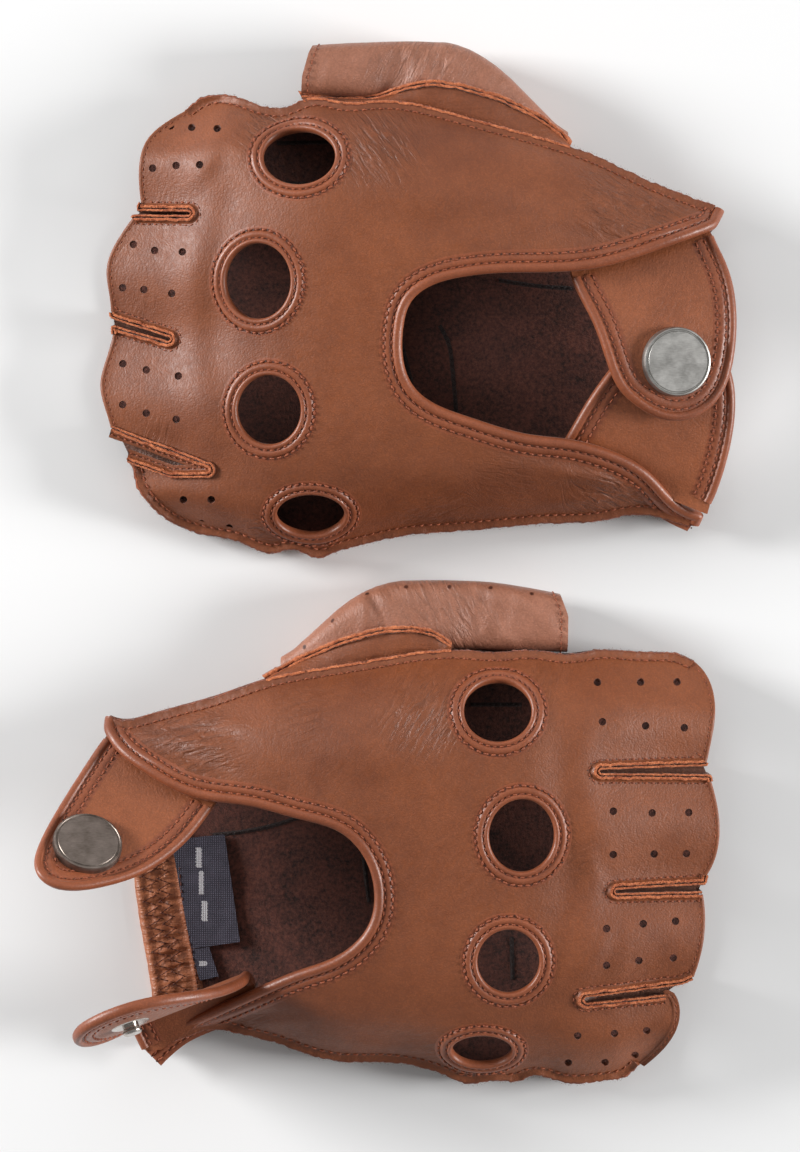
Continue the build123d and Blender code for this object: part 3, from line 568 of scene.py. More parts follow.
def band(build, line, field, away, profile, mats=0, closed=False, waves=None, floor=None,
         ends=True):
    """Strip that follows a line on a leather edge; with a floor it is closed underneath."""
    m, s = len(profile), arc_length(line)
    lines = []
    for k, (d, h) in enumerate(profile):
        d, h = np.full(len(line), d * MM), np.full(len(line), h * MM)
        if waves and waves[1][k][0]:
            d = d + ripple(s, 100 + waves[0]) * waves[1][k][0] * MM
            h = h + ripple(s, 200 + waves[0]) * waves[1][k][1] * MM
        lines.append(offset_points(line, field, away, d, h, closed))
    if floor is not None:
        lines[0][:, 2] = lines[-1][:, 2] = floor
    verts = loft(build, lines, mats, away < 0, closed, floor is not None)
    if ends and not closed:
        k = np.arange(m - 1)
        for row, turn in ((verts[:m], away < 0), (verts[-m:], away > 0)):
            fan = np.column_stack([k + 1 - turn, k + turn, k * 0 + m])
            build.add(np.vstack([row, row.mean(0)]), (fan, np.resize(mats, 1)[0]))


def stitches(build, line, normal, pitch, length=None, radius=0.2, mat=0, closed=False, sway=6,
             sink=0.0, hole=1):
    """Row of sewing stitches along a line of points, with dark discs between them painted as
    needle-hole shade.
    """
    length = pitch * 0.78 if length is None else length
    cloud = resample(np.hstack([line, normal]), pitch * MM, closed)
    point, up = cloud[:, :3], unit(cloud[:, 3:])
    along = tangents(point, closed)
    if not closed:
        point, up, along = point[:-1], up[:-1], along[:-1]
        point = point + along * pitch * MM * 0.5
    across = unit(np.cross(up, along))
    turn = np.radians(rng.normal(0, sway, len(point)))[:, None]
    along, across = (along * np.cos(turn) + across * np.sin(turn),
                     across * np.cos(turn) - along * np.sin(turn))
    grow = rng.uniform(0.9, 1.1, len(point))
    rings, sides, corners = 5, 7, 6

    def circle(count, a, b):
        angle = np.arange(count)[:, None] * 2 * math.pi / count
        return a[:, None] * np.cos(angle) + b[:, None] * np.sin(angle)

    t = np.linspace(-1, 1, rings)[:, None]
    wide = radius * MM * np.sqrt(np.maximum(1.02 - np.abs(t) ** 3, 0.02)) * grow[:, None, None]
    lift = (0.12 - 0.34 * t * t - sink) * MM
    centre = point[:, None] + along[:, None] * t * length * MM / 2 + up[:, None] * lift
    verts = centre[:, :, None] + circle(sides, across, up)[:, None] * wide[..., None]
    k = np.arange(len(point))[:, None, None]
    build.add(verts.reshape(-1, 3),
              ((net(rings, sides, False, True) + k * rings * sides).reshape(-1, 4), mat))
    # each needle hole is a flat dark disc on the surface: painted shade in place of the hole
    if hole is not None:
        centre = point + along * pitch * MM * 0.5 + up * (0.05 - sink) * MM
        disc = circle(corners, along * radius * 0.8 * MM, across * radius * 1.1 * MM)
        disc = centre[:, None] + disc
        build.add(disc.reshape(-1, 3), (k[:, 0] * corners + np.arange(corners), hole))


def row_on(build, line, field, away, d, pitch, closed=False, **words):
    """Stitch row at distance d millimetres from a leather edge."""
    p = offset_points(line, field, away, d * MM, 0.0, closed)
    stitches(build, p, field.normal(p[:, :2]), pitch, closed=closed, **words)


def fuzz(build, line, out, up, mat, per_mm, size):
    """Short fibres along a raw leather edge."""
    length = arc_length(line)[-1]
    cloud = resample(np.hstack([line, out, up]), length / int(length / MM * per_mm))
    p, o, u = cloud[:, :3], cloud[:, 3:6], cloud[:, 6:9]
    n, thin = len(p), 0.045 * MM
    root = p + o * rng.normal(0, 0.25, (n, 1)) * MM + u * rng.normal(0, 0.12, (n, 1)) * MM
    tilt = unit(o * rng.normal(0.1, 0.8, (n, 1)) + u * rng.uniform(0.3, 1.0, (n, 1))
                + rng.normal(0, 0.5, (n, 3)))
    tip = root + tilt * size * rng.uniform(0.4, 1.2, (n, 1)) * MM
    side = unit(np.cross(tilt, rng.normal(0, 1, (n, 3)))) * thin
    other = unit(np.cross(tilt, side)) * thin
    verts = np.stack([root + side, root - side * 0.5 + other, root - side * 0.5 - other, tip], 1)
    k = 4 * np.arange(n)[:, None]
    build.add(verts.reshape(-1, 3), (np.vstack([k + [0, 1, 3], k + [1, 2, 3], k + [2, 0, 3]]), mat))


# ------------------------------------------------------------------ materials
def srgb(colour):
    return *(((c / 255 + 0.055) / 1.055) ** 2.4 if c > 10 else c / 3294.6 for c in colour), 1


class Graph:
    """Short names for building one material's nodes."""

    def __init__(self, name):
        self.material = bpy.data.materials.new(name)
        self.material.use_nodes = True
        self.tree = self.material.node_tree
        self.at = self.node("ShaderNodeTexCoord").outputs["Object"]

    def node(self, kind, sockets=(), **settings):
        """A new node with its settings, its sockets linked or given a value."""
        n = self.tree.nodes.new(kind)
        for key, value in settings.items():
            setattr(n, key, value)
        for key, value in dict(sockets).items():
            self.put(n.inputs[key], value)
        return n

    def put(self, socket, value):
        if isinstance(value, bpy.types.NodeSocket):
            self.tree.links.new(value, socket)
        else:
            socket.default_value = value

    def attribute(self, name, out):
        return self.node("ShaderNodeAttribute", attribute_name=name).outputs[out]

    def stretch(self, scale):
        return self.node("ShaderNodeMapping", {"Vector": self.at, "Scale": scale}).outputs["Vector"]

    def noise(self, vector, scale, detail=2.0, rough=0.5, distortion=0.0):
        return self.node("ShaderNodeTexNoise", {
            "Vector": vector, "Scale": scale, "Detail": detail, "Roughness": rough,
            "Distortion": distortion}).outputs["Fac"]

    def math(self, kind, a, b, clamp=False):
        return self.node("ShaderNodeMath", {0: a, 1: b}, operation=kind, use_clamp=clamp).outputs[0]

    def weigh(self, a, x, b, y):
        """a times x plus b times y."""
        return self.math("ADD", self.math("MULTIPLY", a, x), self.math("MULTIPLY", b, y))

    def ramp(self, fac, low, dark, high, light):
        n = self.node("ShaderNodeValToRGB", {"Fac": fac})
        for element, at, colour in zip(n.color_ramp.elements, (low, high), (dark, light)):
            element.position, element.color = at, srgb(colour)
        return n.outputs["Color"]

    def span(self, value, a, b, c=0.0, d=1.0):
        return self.node("ShaderNodeMapRange", {
            "Value": value, "From Min": a, "From Max": b, "To Min": c, "To Max": d,
        }).outputs["Result"]

    def mix(self, fac, a, b, blend="MIX"):
        return self.node("ShaderNodeMix", {"Factor": fac, 6: a, 7: b}, data_type="RGBA",
                         blend_type=blend).outputs[2]

    def bump(self, height, distance, strength=1.0, normal=None):
        sockets = {"Height": height, "Distance": distance, "Strength": strength}
        if normal is not None:
            sockets["Normal"] = normal
        return self.node("ShaderNodeBump", sockets).outputs["Normal"]

    def finish(self, colour, roughness, normal, **fixed):
        shader = self.tree.nodes["Principled BSDF"]
        self.put(shader.inputs["Base Color"], colour)
        self.put(shader.inputs["Roughness"], roughness)
        self.put(shader.inputs["Normal"], normal)
        for key, value in fixed.items():
            shader.inputs[key.replace("_", " ")].default_value = value
        return self.material


def leather(name, dark, light, grain=1.0, wrinkle=1.0, gloss=0.48):
    g = Graph(name)
    marks = g.node("ShaderNodeSeparateXYZ", {0: g.attribute("wr", "Vector")}).outputs
    tone = g.weigh(g.noise(g.at, 22, 3, 0.55), 0.65, g.noise(g.at, 190, 4, 0.6), 0.35)
    pores = g.node("ShaderNodeTexVoronoi", {"Vector": g.stretch((1, 1.25, 1)), "Scale": 2300},
                   feature="SMOOTH_F1").outputs["Distance"]
    speckle = g.noise(g.at, 2600, 2, 0.6)
    run = g.node("ShaderNodeCombineXYZ", {0: g.math("MULTIPLY", marks[0], 200.0),
                                          1: g.math("MULTIPLY", marks[1], 860.0)}).outputs[0]
    streak = g.span(g.noise(run, 1.0, 3, 0.5, 0.9), 0.3, 0.62)
    strength = g.math("MULTIPLY", g.span(marks[2], 0.16, 0.9), wrinkle, clamp=True)
    lines = g.math("MULTIPLY", streak, strength)
    crepe = g.span(g.noise(g.stretch((1, 0.6, 1)), 1250, 3, 0.6, 0.6), 0.3, 0.7)
    # painted shade: the colour is darkened in the low parts of the wrinkles, by up to 30 per cent
    # where they are strongest
    crease_shade = g.math("MULTIPLY", g.math("SUBTRACT", 1.0, streak), g.math("MULTIPLY", strength, 0.3))
    low = g.math("MULTIPLY", g.span(pores, 0.0, 0.5, 1.04, 0.8), g.math("SUBTRACT", 1.0, crease_shade))
    low = g.math("MULTIPLY", low, g.span(crepe, 0.0, 1.0, 0.9, 1.05))
    grey = g.node("ShaderNodeCombineColor", {0: low, 1: low, 2: low}).outputs[0]
    colour = g.mix(1.0, g.ramp(tone, 0.34, dark, 0.66, light), grey, "MULTIPLY")
    rough = g.weigh(g.noise(g.at, 700, 3), 1.0, streak, 0.3)
    rough = g.span(rough, 0.3, 0.9, gloss - 0.05, gloss + 0.12)
    normal = g.bump(g.math("SUBTRACT", 1.0, pores), 0.00006 * grain, 0.9)
    normal = g.bump(g.weigh(crepe, 1.0, speckle, 0.4), 0.00004 * grain, 0.9, normal)
    normal = g.bump(lines, 0.00026, 1.0, normal)
    return g.finish(colour, rough, normal, Specular_IOR_Level=0.5, Sheen_Weight=0.05,
                    Sheen_Roughness=0.3)


def suede(name, dark, light):
    g = Graph(name)
    nap = g.noise(g.at, 1050, 4, 0.8)
    patch = g.noise(g.at, 110, 4, 0.65, 0.7)
    colour = g.ramp(g.weigh(nap, 0.7, patch, 0.3), 0.38, dark, 0.62, light)
    return g.finish(colour, g.span(patch, 0.2, 0.8, 0.82, 0.98), g.bump(nap, 0.0005),
                    Specular_IOR_Level=0.12, Sheen_Weight=0.22, Sheen_Roughness=0.6)


def raw_edge(name, dark, light):
    g = Graph(name)
    fibre = g.noise(g.at, 1900, 4, 0.75)
    patch = g.noise(g.at, 320, 3, 0.6)
    colour = g.ramp(g.weigh(fibre, 0.6, patch, 0.4), 0.36, dark, 0.6, light)
    return g.finish(colour, g.span(patch, 0.2, 0.8, 0.8, 0.95), g.bump(fibre, 0.0004),
                    Specular_IOR_Level=0.15, Sheen_Weight=0.2)


def thread_of(name, dark, light):
    g = Graph(name)
    tone = g.noise(g.at, 1400, 2)
    twist = g.noise(g.stretch((1, 1, 2.2)), 5200, 2)
    colour = g.ramp(g.weigh(tone, 0.6, twist, 0.4), 0.35, dark, 0.62, light)
    return g.finish(colour, g.span(tone, 0.2, 0.8, 0.45, 0.65), g.bump(twist, 0.0001, 0.8),
                    Specular_IOR_Level=0.4)


def metal(name, dark, light, centre):
    g = Graph(name)
    brush = g.noise(g.stretch((1, 7, 1)), 900, 4, 0.65)
    cloud = g.noise(g.at, 260, 3, 0.6)
    colour = g.ramp(g.weigh(brush, 0.4, cloud, 0.6), 0.3, dark, 0.7, light)
    rough = g.span(g.math("ADD", brush, cloud), 0.6, 1.4, centre - 0.06, centre + 0.1)
    return g.finish(colour, rough, g.bump(brush, 0.00002, 0.6), Metallic=1.0)


def woven(name, dark, light, mark):
    """Label weave, with a few plain lighter bars where the real one has lettering."""
    g = Graph(name)
    warp, weft = (g.node("ShaderNodeTexWave", {"Vector": g.at, "Scale": 620, "Distortion": 0.4},
                         wave_type="BANDS", bands_direction=way).outputs["Fac"] for way in "XY")
    weave = g.math("MULTIPLY", warp, weft)
    colour = g.ramp(g.weigh(weave, 0.6, g.noise(g.at, 300, 3), 0.4), 0.2, dark, 0.75, light)
    colour = g.mix(g.math("GREATER_THAN", g.attribute("edge", "Fac"), 0.5), colour, srgb(mark))
    return g.finish(colour, g.span(weave, 0, 1, 0.6, 0.8), g.bump(weave, 0.00012, 0.8),
                    Specular_IOR_Level=0.3)


BACK = leather("back_leather", (114, 57, 27), (141, 76, 40))
STRAP = leather("strap_leather", (132, 70, 37), (158, 88, 51), 1.1, 0.8)
# painted light: a paler, greyer copy of the back leather that stands in for the top light falling
# on the thumb
THUMB_PAINTED_LIGHT = leather("thumb_leather_painted_light", (146, 92, 68), (174, 116, 92), 1.5, 1.1)
ROLL = leather("binding_leather", (124, 64, 37), (154, 84, 52), 0.6, 0.6, 0.38)
WEB = leather("fourchette_inside", (84, 52, 40), (122, 82, 66), 2.0)
WALL = leather("wall_leather", (92, 48, 30), (118, 66, 42), 1.2)
ELASTIC = leather("gathered_facing", (140, 76, 44), (186, 114, 76), 1.2, 1.0, 0.38)
SUEDE = suede("suede_inside", (38, 18, 13), (108, 60, 48))
SUEDE_LINE = suede("suede_seam", (22, 12, 10), (50, 28, 23))
RAW = raw_edge("raw_edge", (134, 58, 30), (212, 128, 84))
RAW_MID = raw_edge("seam_edge", (112, 54, 32), (168, 92, 60))
RAW_DARK = raw_edge("cut_edge", (84, 42, 26), (126, 68, 44))
THREAD = thread_of("brown_thread", (96, 42, 24), (160, 86, 54))
# painted shade: colour of the flat dark discs that stand for needle and punched holes
NEEDLE_HOLE_SHADE = thread_of("needle_hole_shade", (50, 21, 12), (82, 38, 23))
ZIGZAG = thread_of("facing_thread", (56, 22, 12), (104, 48, 28))
BLACK_THREAD = thread_of("dark_thread", (16, 9, 8), (44, 28, 23))
LABEL = woven("label_weave", (48, 46, 56), (92, 88, 102), (172, 170, 174))
CAP = metal("cap_brushed", (142, 140, 136), (186, 184, 180), 0.42)
PEWTER = metal("cap_pewter", (104, 94, 86), (158, 146, 138), 0.4)
NICKEL = metal("snap_nickel", (150, 142, 134), (214, 208, 202), 0.22)


# ------------------------------------------------------------------ one glove
def fine_marks(spec):
    """Function of plan points that gives the wrinkle direction coordinates and strength."""
    def marks(xy):
        total, best = np.zeros((2, len(xy), 1))
        turn = np.zeros((len(xy), 2))
        for centre, reach, angle, strength in spec["fine"]:
            gap = ((xy - plan(centre)) ** 2).sum(1, keepdims=True)
            w = np.exp(-gap / (reach * MM) ** 2 * 1.3)
            k = w ** 4 + 1e-9
            turn += k * turned(xy, math.radians(angle))
            total += k
            best = np.maximum(best, w * strength)
        return np.hstack([turn / total, best])

    return marks


def trimmed(line, tip):
    """The line without its last three points at the tip."""
    return line[:-3] if np.linalg.norm(line[-1, :2] - tip) < 2 * MM else line[3:]


def glove(spec):
    side = spec["name"]
    body = side + "_glove"
    co, tri = node_mesh(side + "_back_panel")
    tops = upward(co, tri)
    loops = loops_of(co, tops)
    field = Field(co, tops)
    for points, width, depth in spec["folds"]:
        field.fold(plan(points), width * MM, depth * FOLD_DEPTH * MM)
    field.soften(1)
    marks = fine_marks(spec)
    outer, holes = loops[0], loops[1:]
    ends, tips, middle = plan(spec["finger_ends"]), plan(spec["tips"]), plan(spec["middle"])

    opening = relax(resample(section(outer, *tips), 0.7 * MM), 5)
    index = trimmed(resample(section(outer, ends[0][0], tips[0]), 0.6 * MM), tips[0])
    little = trimmed(resample(section(outer, ends[3][1], tips[1]), 0.6 * MM), tips[1])
    slits = [resample(section(outer, ends[k][1], ends[k + 1][0]), 0.35 * MM) for k in range(3)]
    hems = [resample(section(outer, a, b), 0.6 * MM) for a, b in ends]
    for line in [opening, index, little] + slits + hems:
        field.drape(line)

    # back leather
    build = Build()
    edges = [resample(outer, 0.7 * MM, True)] + [resample(p, 0.45 * MM, True) for p in holes]
    sheet(build, edges, field, LEATHER, 1.05 * MM, marks)
    piece(build, side + "_back", [BACK, SUEDE, RAW_DARK], body, "glove_leather",
          side + "_back_panel")

    # rings round the knuckle holes
    rings, thread = Build(), Build()

    def sew(line, away, d, pitch, radius, sway, sink=0.0, closed=False):
        row_on(thread, line, field, away, d, pitch, closed, radius=radius, sway=sway, sink=sink)

    for centre in plan(spec["holes"]):
        hole = min(holes, key=lambda p: np.linalg.norm(p[:, :2].mean(0) - centre))
        line = resample(hole, 0.5 * MM, True)
        for _ in range(6):
            line = line * 0.5 + (np.roll(line, 1, 0) + np.roll(line, -1, 0)) * 0.25
        field.drape(line)
        away = -1 if cross2(*(line[:2, :2] - line[:, :2].mean(0))) > 0 else 1
        band(rings, line, field, away, RING_PROFILE, closed=True)
        sew(line, away, 1.16, 1.6, 0.19, 8, -0.2, True)
        sew(line, away, 3.1, 1.75, 0.24, 14, -0.16, True)
    piece(rings, side + "_knuckle_rings", [ROLL], body, "facing_leather",
          *[f"{side}_knuckle_ring_{k}" for k in ("index", "middle", "ring", "little")])

    # binding of the opening
    binding = Build()
    away = side_of(opening, middle)
    band(binding, opening, field, away, ROLL_PROFILE)
    sew(opening, away, 2.15, 1.9, 0.2, 3, -0.08)
    sew(opening, away, 4.0, 1.95, 0.23, 5, -0.12)
    piece(binding, side + "_opening_roll", [ROLL], body, "binding_leather",
          side + "_opening_binding")

    # raw seams at the sides, turned hems of the finger ends
    seams = Build()
    for line in (index, little):
        away = side_of(line, middle)
        band(seams, line, field, away, SEAM, SEAM_MATS, waves=SEAM_WAVES)
        out, n = outward(line, field, away)
        fuzz(seams, line + out * 0.1 * MM + n * 0.7 * MM, out, n, 2, 4, 0.4)
        sew(line, away, 1.85, 1.95, 0.2, 4, -0.1)
    for line in hems:
        away = side_of(line, middle)
        band(seams, line, field, away, HEM)
        sew(line, away, 0.78, 1.7, 0.12, 6, 0.02)
    piece(seams, side + "_seam_edges", [BACK, RAW_MID, RAW_DARK], body, "glove_leather")

    # slits between the fingers, with their fourchettes and the web under them
    for name, line in zip(("index_middle", "middle_ring", "ring_little"), slits):
        half = len(line) // 2
        away = -side_of(line[half:half + 3], line[[0, -1], :2].mean(0))
        lips = Build()
        band(lips, line, field, away, LIP, LIP_MATS, waves=LIP_WAVES)
        band(lips, line, field, away, FOURCHETTE, FOURCHETTE_MATS, waves=FOURCHETTE_WAVES,
             floor=0.5 * MM)
        near, far = line[:half], line[::-1][:half]
        web = [near * (1 - share) + far * share - UP * drop * MM for share, drop in WEB_SAG]
        for row in web:
            row[:, 2] = np.maximum(row[:, 2], 0.6 * MM)
        loft(lips, web, 4, first=3)
        out, n = outward(line, field, -away)
        fuzz(lips, line + out * 0.4 * MM + n * 1.0 * MM, out, n, 1, 7, 0.4)
        fuzz(lips, line - out * 0.4 * MM + n * 0.95 * MM, out, n, 1, 6, 0.4)
        sew(line, away, 1.5, 1.6, 0.18, 6)
        piece(lips, f"{side}_slit_{name}", [BACK, RAW, RAW_DARK, WALL, WEB], body,
              "fourchette_leather", f"{side}_fourchette_{name}")

    palm_field, palm_outer = palm(spec, body, marks)
    side_walls(spec, body, palm_field, index, little, middle)
    thumb(spec, body, field, index, thread, middle)
    wrist(spec, body, palm_field, palm_outer, thread)
    piece(thread, side + "_stitching", [THREAD, NEEDLE_HOLE_SHADE, ZIGZAG], body, "glove_leather")
    flap(spec, "strap", body, side + "_strap_flap", -1)
    flap(spec, "under_tab", body, side == "right" and side + "_tab_flap", 1)


def palm(spec, body, marks):
    """Palm leather, suede side up, with the sewn lines that show through the openings."""
    side = spec["name"]
    co, tri = node_mesh(side + "_palm_panel")
    tops = upward(co, tri)
    loops = [p for p in loops_of(co, tops) if np.ptp(p[:, 0]) > 2 * MM]
    field = Field(co, tops, 0.9 * MM)
    x, y = field.nodes()
    gentle = np.sin(x * 95 + 1.2 * np.sin(y * 60)) * np.sin(y * 82 + x * 40) * 0.35 * MM
    field.grid = field.grid + np.maximum(gentle, -0.05 * MM)
    build, dark = Build(), Build()
    sheet(build, [resample(p, 1.0 * MM, True) for p in loops], field, LEATHER, 1.7 * MM, marks)
    for points in spec["seam_lines"]:
        line = field.at(smooth_line(plan(points)))
        n = field.normal(line[:, :2])
        band(build, line, field, 1, INNER_SEAM, 3, ends=False)
        stitches(dark, line + n * 0.24 * MM, n, 1.5, radius=0.15, sway=14, hole=None)
    piece(build, side + "_palm", [SUEDE, BACK, RAW_DARK, SUEDE_LINE], body, "glove_leather",
          side + "_palm_panel")
    piece(dark, side + "_inner_seams", [BLACK_THREAD], body, "glove_leather")
    return field, loops[0]


def side_walls(spec, body, palm_field, index, little, middle):
    """Leather that closes the gap between the back's edge and the palm's at both sides."""
    build = Build()
    for line in (index, little):
        away = side_of(line, middle)
        out = -unit(np.cross(UP, tangents(line))) * away
        top = line[:, 2] - 0.5 * MM
        low = palm_field.z(*(line - out * MM)[:, :2].T) - 0.9 * MM
        low = np.minimum(low, top - 1.2 * MM)
        wave = 0.12 * ripple(np.linspace(0, 1, len(line)) * 0.13, 31)[:, None]
        lines = []
        for share, push in WALL_SWELL:
            p = line + out * (push + wave) * MM
            p[:, 2] = top + (low - top) * share
            lines.append(p)
        loft(build, lines, 0, away > 0, ring=True)
    piece(build, spec["name"] + "_side_walls", [WALL], body, "glove_leather")


def thumb(spec, body, field, index, thread, middle):
    """Soft hollow thumb, the lens of palm leather beside it and the raw seam between them."""
    side, sign = spec["name"], -spec["dir"]
    table = np.array(sorted(spec["thumb"]), float)
    table[:, :3] += SHIFT[[0, 1, 1]]
    end = np.array(sorted(spec["thumb_end"], key=lambda p: p[1]), float) + SHIFT
    x_close = table[-1, 0] if sign > 0 else table[0, 0]
    rings, sides = 74, 64
    u = np.linspace(0, 1, rings)[:, None]
    angle = np.arange(sides)[None] * 2 * math.pi / sides
    squareness = 0.62   # 1 is a round section, less is more like a box
    across, up = (np.sign(c) * np.abs(c) ** squareness for c in (np.cos(angle), np.sin(angle)))
    over = np.sin(angle).clip(0)

    def section_at(x, inset):
        near, far, half = (sum(np.interp(x + d, table[:, 0], column) for d in (0, -3, 3)) / 3
                           for column in table.T[1:])
        y = (near + far) / 2 + ((far - near) / 2 - inset) * across
        return y, half + 0.3 + (half - inset) * up

    first = end[:, 0].mean()
    stop = np.interp(section_at(first + (x_close - first) * u, 0.0)[0], end[:, 1], end[:, 0])
    xs = stop + (x_close - stop) * u
    y, z = section_at(xs, 0.0)
    # soft folds round the tube and across its base
    gen = np.random.default_rng(spec["seed"])
    along = (xs - xs[:1]) * sign
    push = np.zeros_like(xs)
    for _ in range(9):
        centre, size = gen.uniform(2, 50), gen.uniform(1.6, 3.4)
        lean, depth = gen.uniform(-0.9, 0.9), gen.uniform(0.2, 0.55)
        shift = (along - centre - lean * (y - y.mean())) / size
        push += depth * np.sin(np.clip(shift, -1.5, 1.5) * 2) * np.exp(-shift ** 2) * over
    dent = np.exp(-((along - 21) / 5.0) ** 2) * over * 1.5
    yi, zi = section_at(xs, 1.0)
    inner = np.stack([xs, yi, zi + push - dent], 2) * MM
    inner[-1] = inner[-2]
    outer = np.stack([xs, y + push * 0.4, z + push - dent * np.cos((y - y.mean()) * 0.12)], 2) * MM

    # the tube's two faces, open at the window into the hand, and its rims
    build, n = Build(), rings * sides
    verts = np.vstack([outer.reshape(-1, 3), inner.reshape(-1, 3), outer[-1].mean(0)])
    quads = net(rings, sides, close_columns=True)
    tube = BVHTree.FromPolygons(verts[:n].tolist(), quads.tolist())
    x, y, z = verts[quads].mean(1).T
    x0, x1 = (np.array(spec["thumb_window"]) + SHIFT[0]) * MM
    half_way = np.interp(x / MM, table[:, 0], (table[:, 1] + table[:, 2]) / 2) * MM
    window = (x0 < x) & (x < x1) & (y < half_way) & (4.2 * MM < z) & (z < 12.3 * MM)
    skin = quads[~window] if sign < 0 else quads[~window][:, ::-1]
    a = np.arange(sides)
    b = (a + 1) % sides
    rim = np.column_stack([a, b, b + n, a + n])
    cone = np.column_stack([a + n - sides, b + n - sides, a * 0 + 2 * n])
    # wrinkle directions: across the tube near its base, round it near the end
    strength = 0.16 + 0.5 * np.exp(-((u - 0.42) / 0.22) ** 2) * np.ones((1, sides))
    marks = np.column_stack([turned(verts[:, :2], math.radians(62 * sign)),
                             np.append(strength.ravel(), np.zeros(n + 1))])
    build.add(verts, (skin, 0), (skin[:, ::-1] + n, 1), (rim[:, ::-1] if sign < 0 else rim, 2),
              (cone, 0), marks=marks)
    # row of small punched holes beside the upper edge, each a ring of wall leather round a dark
    # disc painted as the hole's shade
    for point in spec["pricks"]:
        hit = tube.ray_cast(Vector((*plan(point), 0.1)), DOWN)
        if hit[0] is None:
            continue
        facing = hit[1] if hit[1].z > 0 else -hit[1]
        u = facing.cross(Vector((0, 1, 0))).normalized()
        v = facing.cross(u)
        for size, lift, mat in ((0.62, 0.03, 3), (0.42, 0.05, 4)):
            ring = [hit[0] + (facing * lift + (u * math.cos(q) * 0.8 + v * math.sin(q)) * size) * MM
                    for q in np.arange(9) * 2 * math.pi / 9]
            build.add(ring, ([range(9)], mat))
    # hem stitches at the end
    ring = outer[1]
    stitches(thread, ring + (outer[3] - ring) * 0.35, unit(ring - ring.mean(0)), 1.8, radius=0.14,
             closed=True, sink=-0.05)
    piece(build, side + "_thumb_leather_painted_light", [THUMB_PAINTED_LIGHT, SUEDE, RAW_DARK, WALL, NEEDLE_HOLE_SHADE], body,
          "glove_leather", side + "_thumb", sharp=70)

    # lens of leather between the back's edge and the thumb's outseam
    arc = smooth_line(plan(spec["outseam"]), 0.5 * MM)
    count = len(arc)
    hits = [tube.ray_cast(Vector((*p, 0.1)), DOWN)[0] for p in arc]
    good = [k for k in range(count) if hits[k] is not None]
    height = relax(np.interp(np.arange(count), good, [hits[k].z for k in good]), 10)
    base = section(index, arc[0], arc[-1])
    rim = resample(base, 0.1 * MM)
    rim = rim[np.linspace(0, len(rim) - 1, count).astype(int)]
    if np.linalg.norm(rim[0, :2] - arc[0]) > np.linalg.norm(rim[-1, :2] - arc[0]):
        rim = rim[::-1]
    edge = np.column_stack([arc, height + 0.5 * MM])
    start = rim - UP * MM
    swell = 0.5 * MM * np.outer(np.sin(np.linspace(0, math.pi, count)), UP)
    lines = [start * (1 - w) + edge * w + swell * math.sin(math.pi * w) for w in np.arange(10) / 9]
    flip = np.cross(lines[1][0] - lines[0][0], lines[0][1] - lines[0][0])[2] < 0
    lens = Build()
    loft(lens, lines, 0, flip, wrinkle=0.3)
    piece(lens, side + "_thumb_wall", [BACK], body, "glove_leather")
    out = unit((edge - start) * [1, 1, 0] + 1e-9)
    up = np.tile(UP, (count, 1))
    sewn = edge - out * 1.5 * MM
    sewn[:, 2] = edge[:, 2] - 0.15 * MM
    stitches(thread, sewn[4:-8], up[4:-8], 1.9, radius=0.16, sway=4)

    # the raw outseam, and the raw edge of the back beside the lens
    ridge = Build()
    s = np.linspace(0, 1, count) * 0.05
    fade = np.sin(np.linspace(0.12, math.pi - 0.12, count)) ** 0.35
    lines = []
    for k, (d, h) in enumerate(OUTSEAM):
        wave = ripple(s, 40 + k // 3) * 0.12
        lift = (h + wave * 0.6) * MM * fade
        lines.append(edge + out * ((d + wave) * MM)[:, None] + up * lift[:, None])
    flip = np.cross(lines[4][0] - lines[2][0], lines[2][1] - lines[2][0])[2] < 0
    loft(ridge, lines, OUTSEAM_MATS, flip)
    fuzz(ridge, edge + out * 0.6 * MM + up * MM, out, up, 1, 6, 0.5)
    fuzz(ridge, edge - out * 0.4 * MM + up * 0.9 * MM, out, up, 1, 4, 0.4)
    rim = resample(base, 0.5 * MM)
    away = side_of(rim, middle)
    band(ridge, rim, field, away, RAW_RIM, [2, 1, 1, 1, 2], waves=RAW_RIM_WAVES)
    out, n = outward(rim, field, away)
    fuzz(ridge, rim + n * 0.9 * MM, out, n, 1, 6, 0.45)
    piece(ridge, side + "_thumb_outseam", [THUMB_PAINTED_LIGHT, RAW, RAW_DARK], body, "glove_leather")


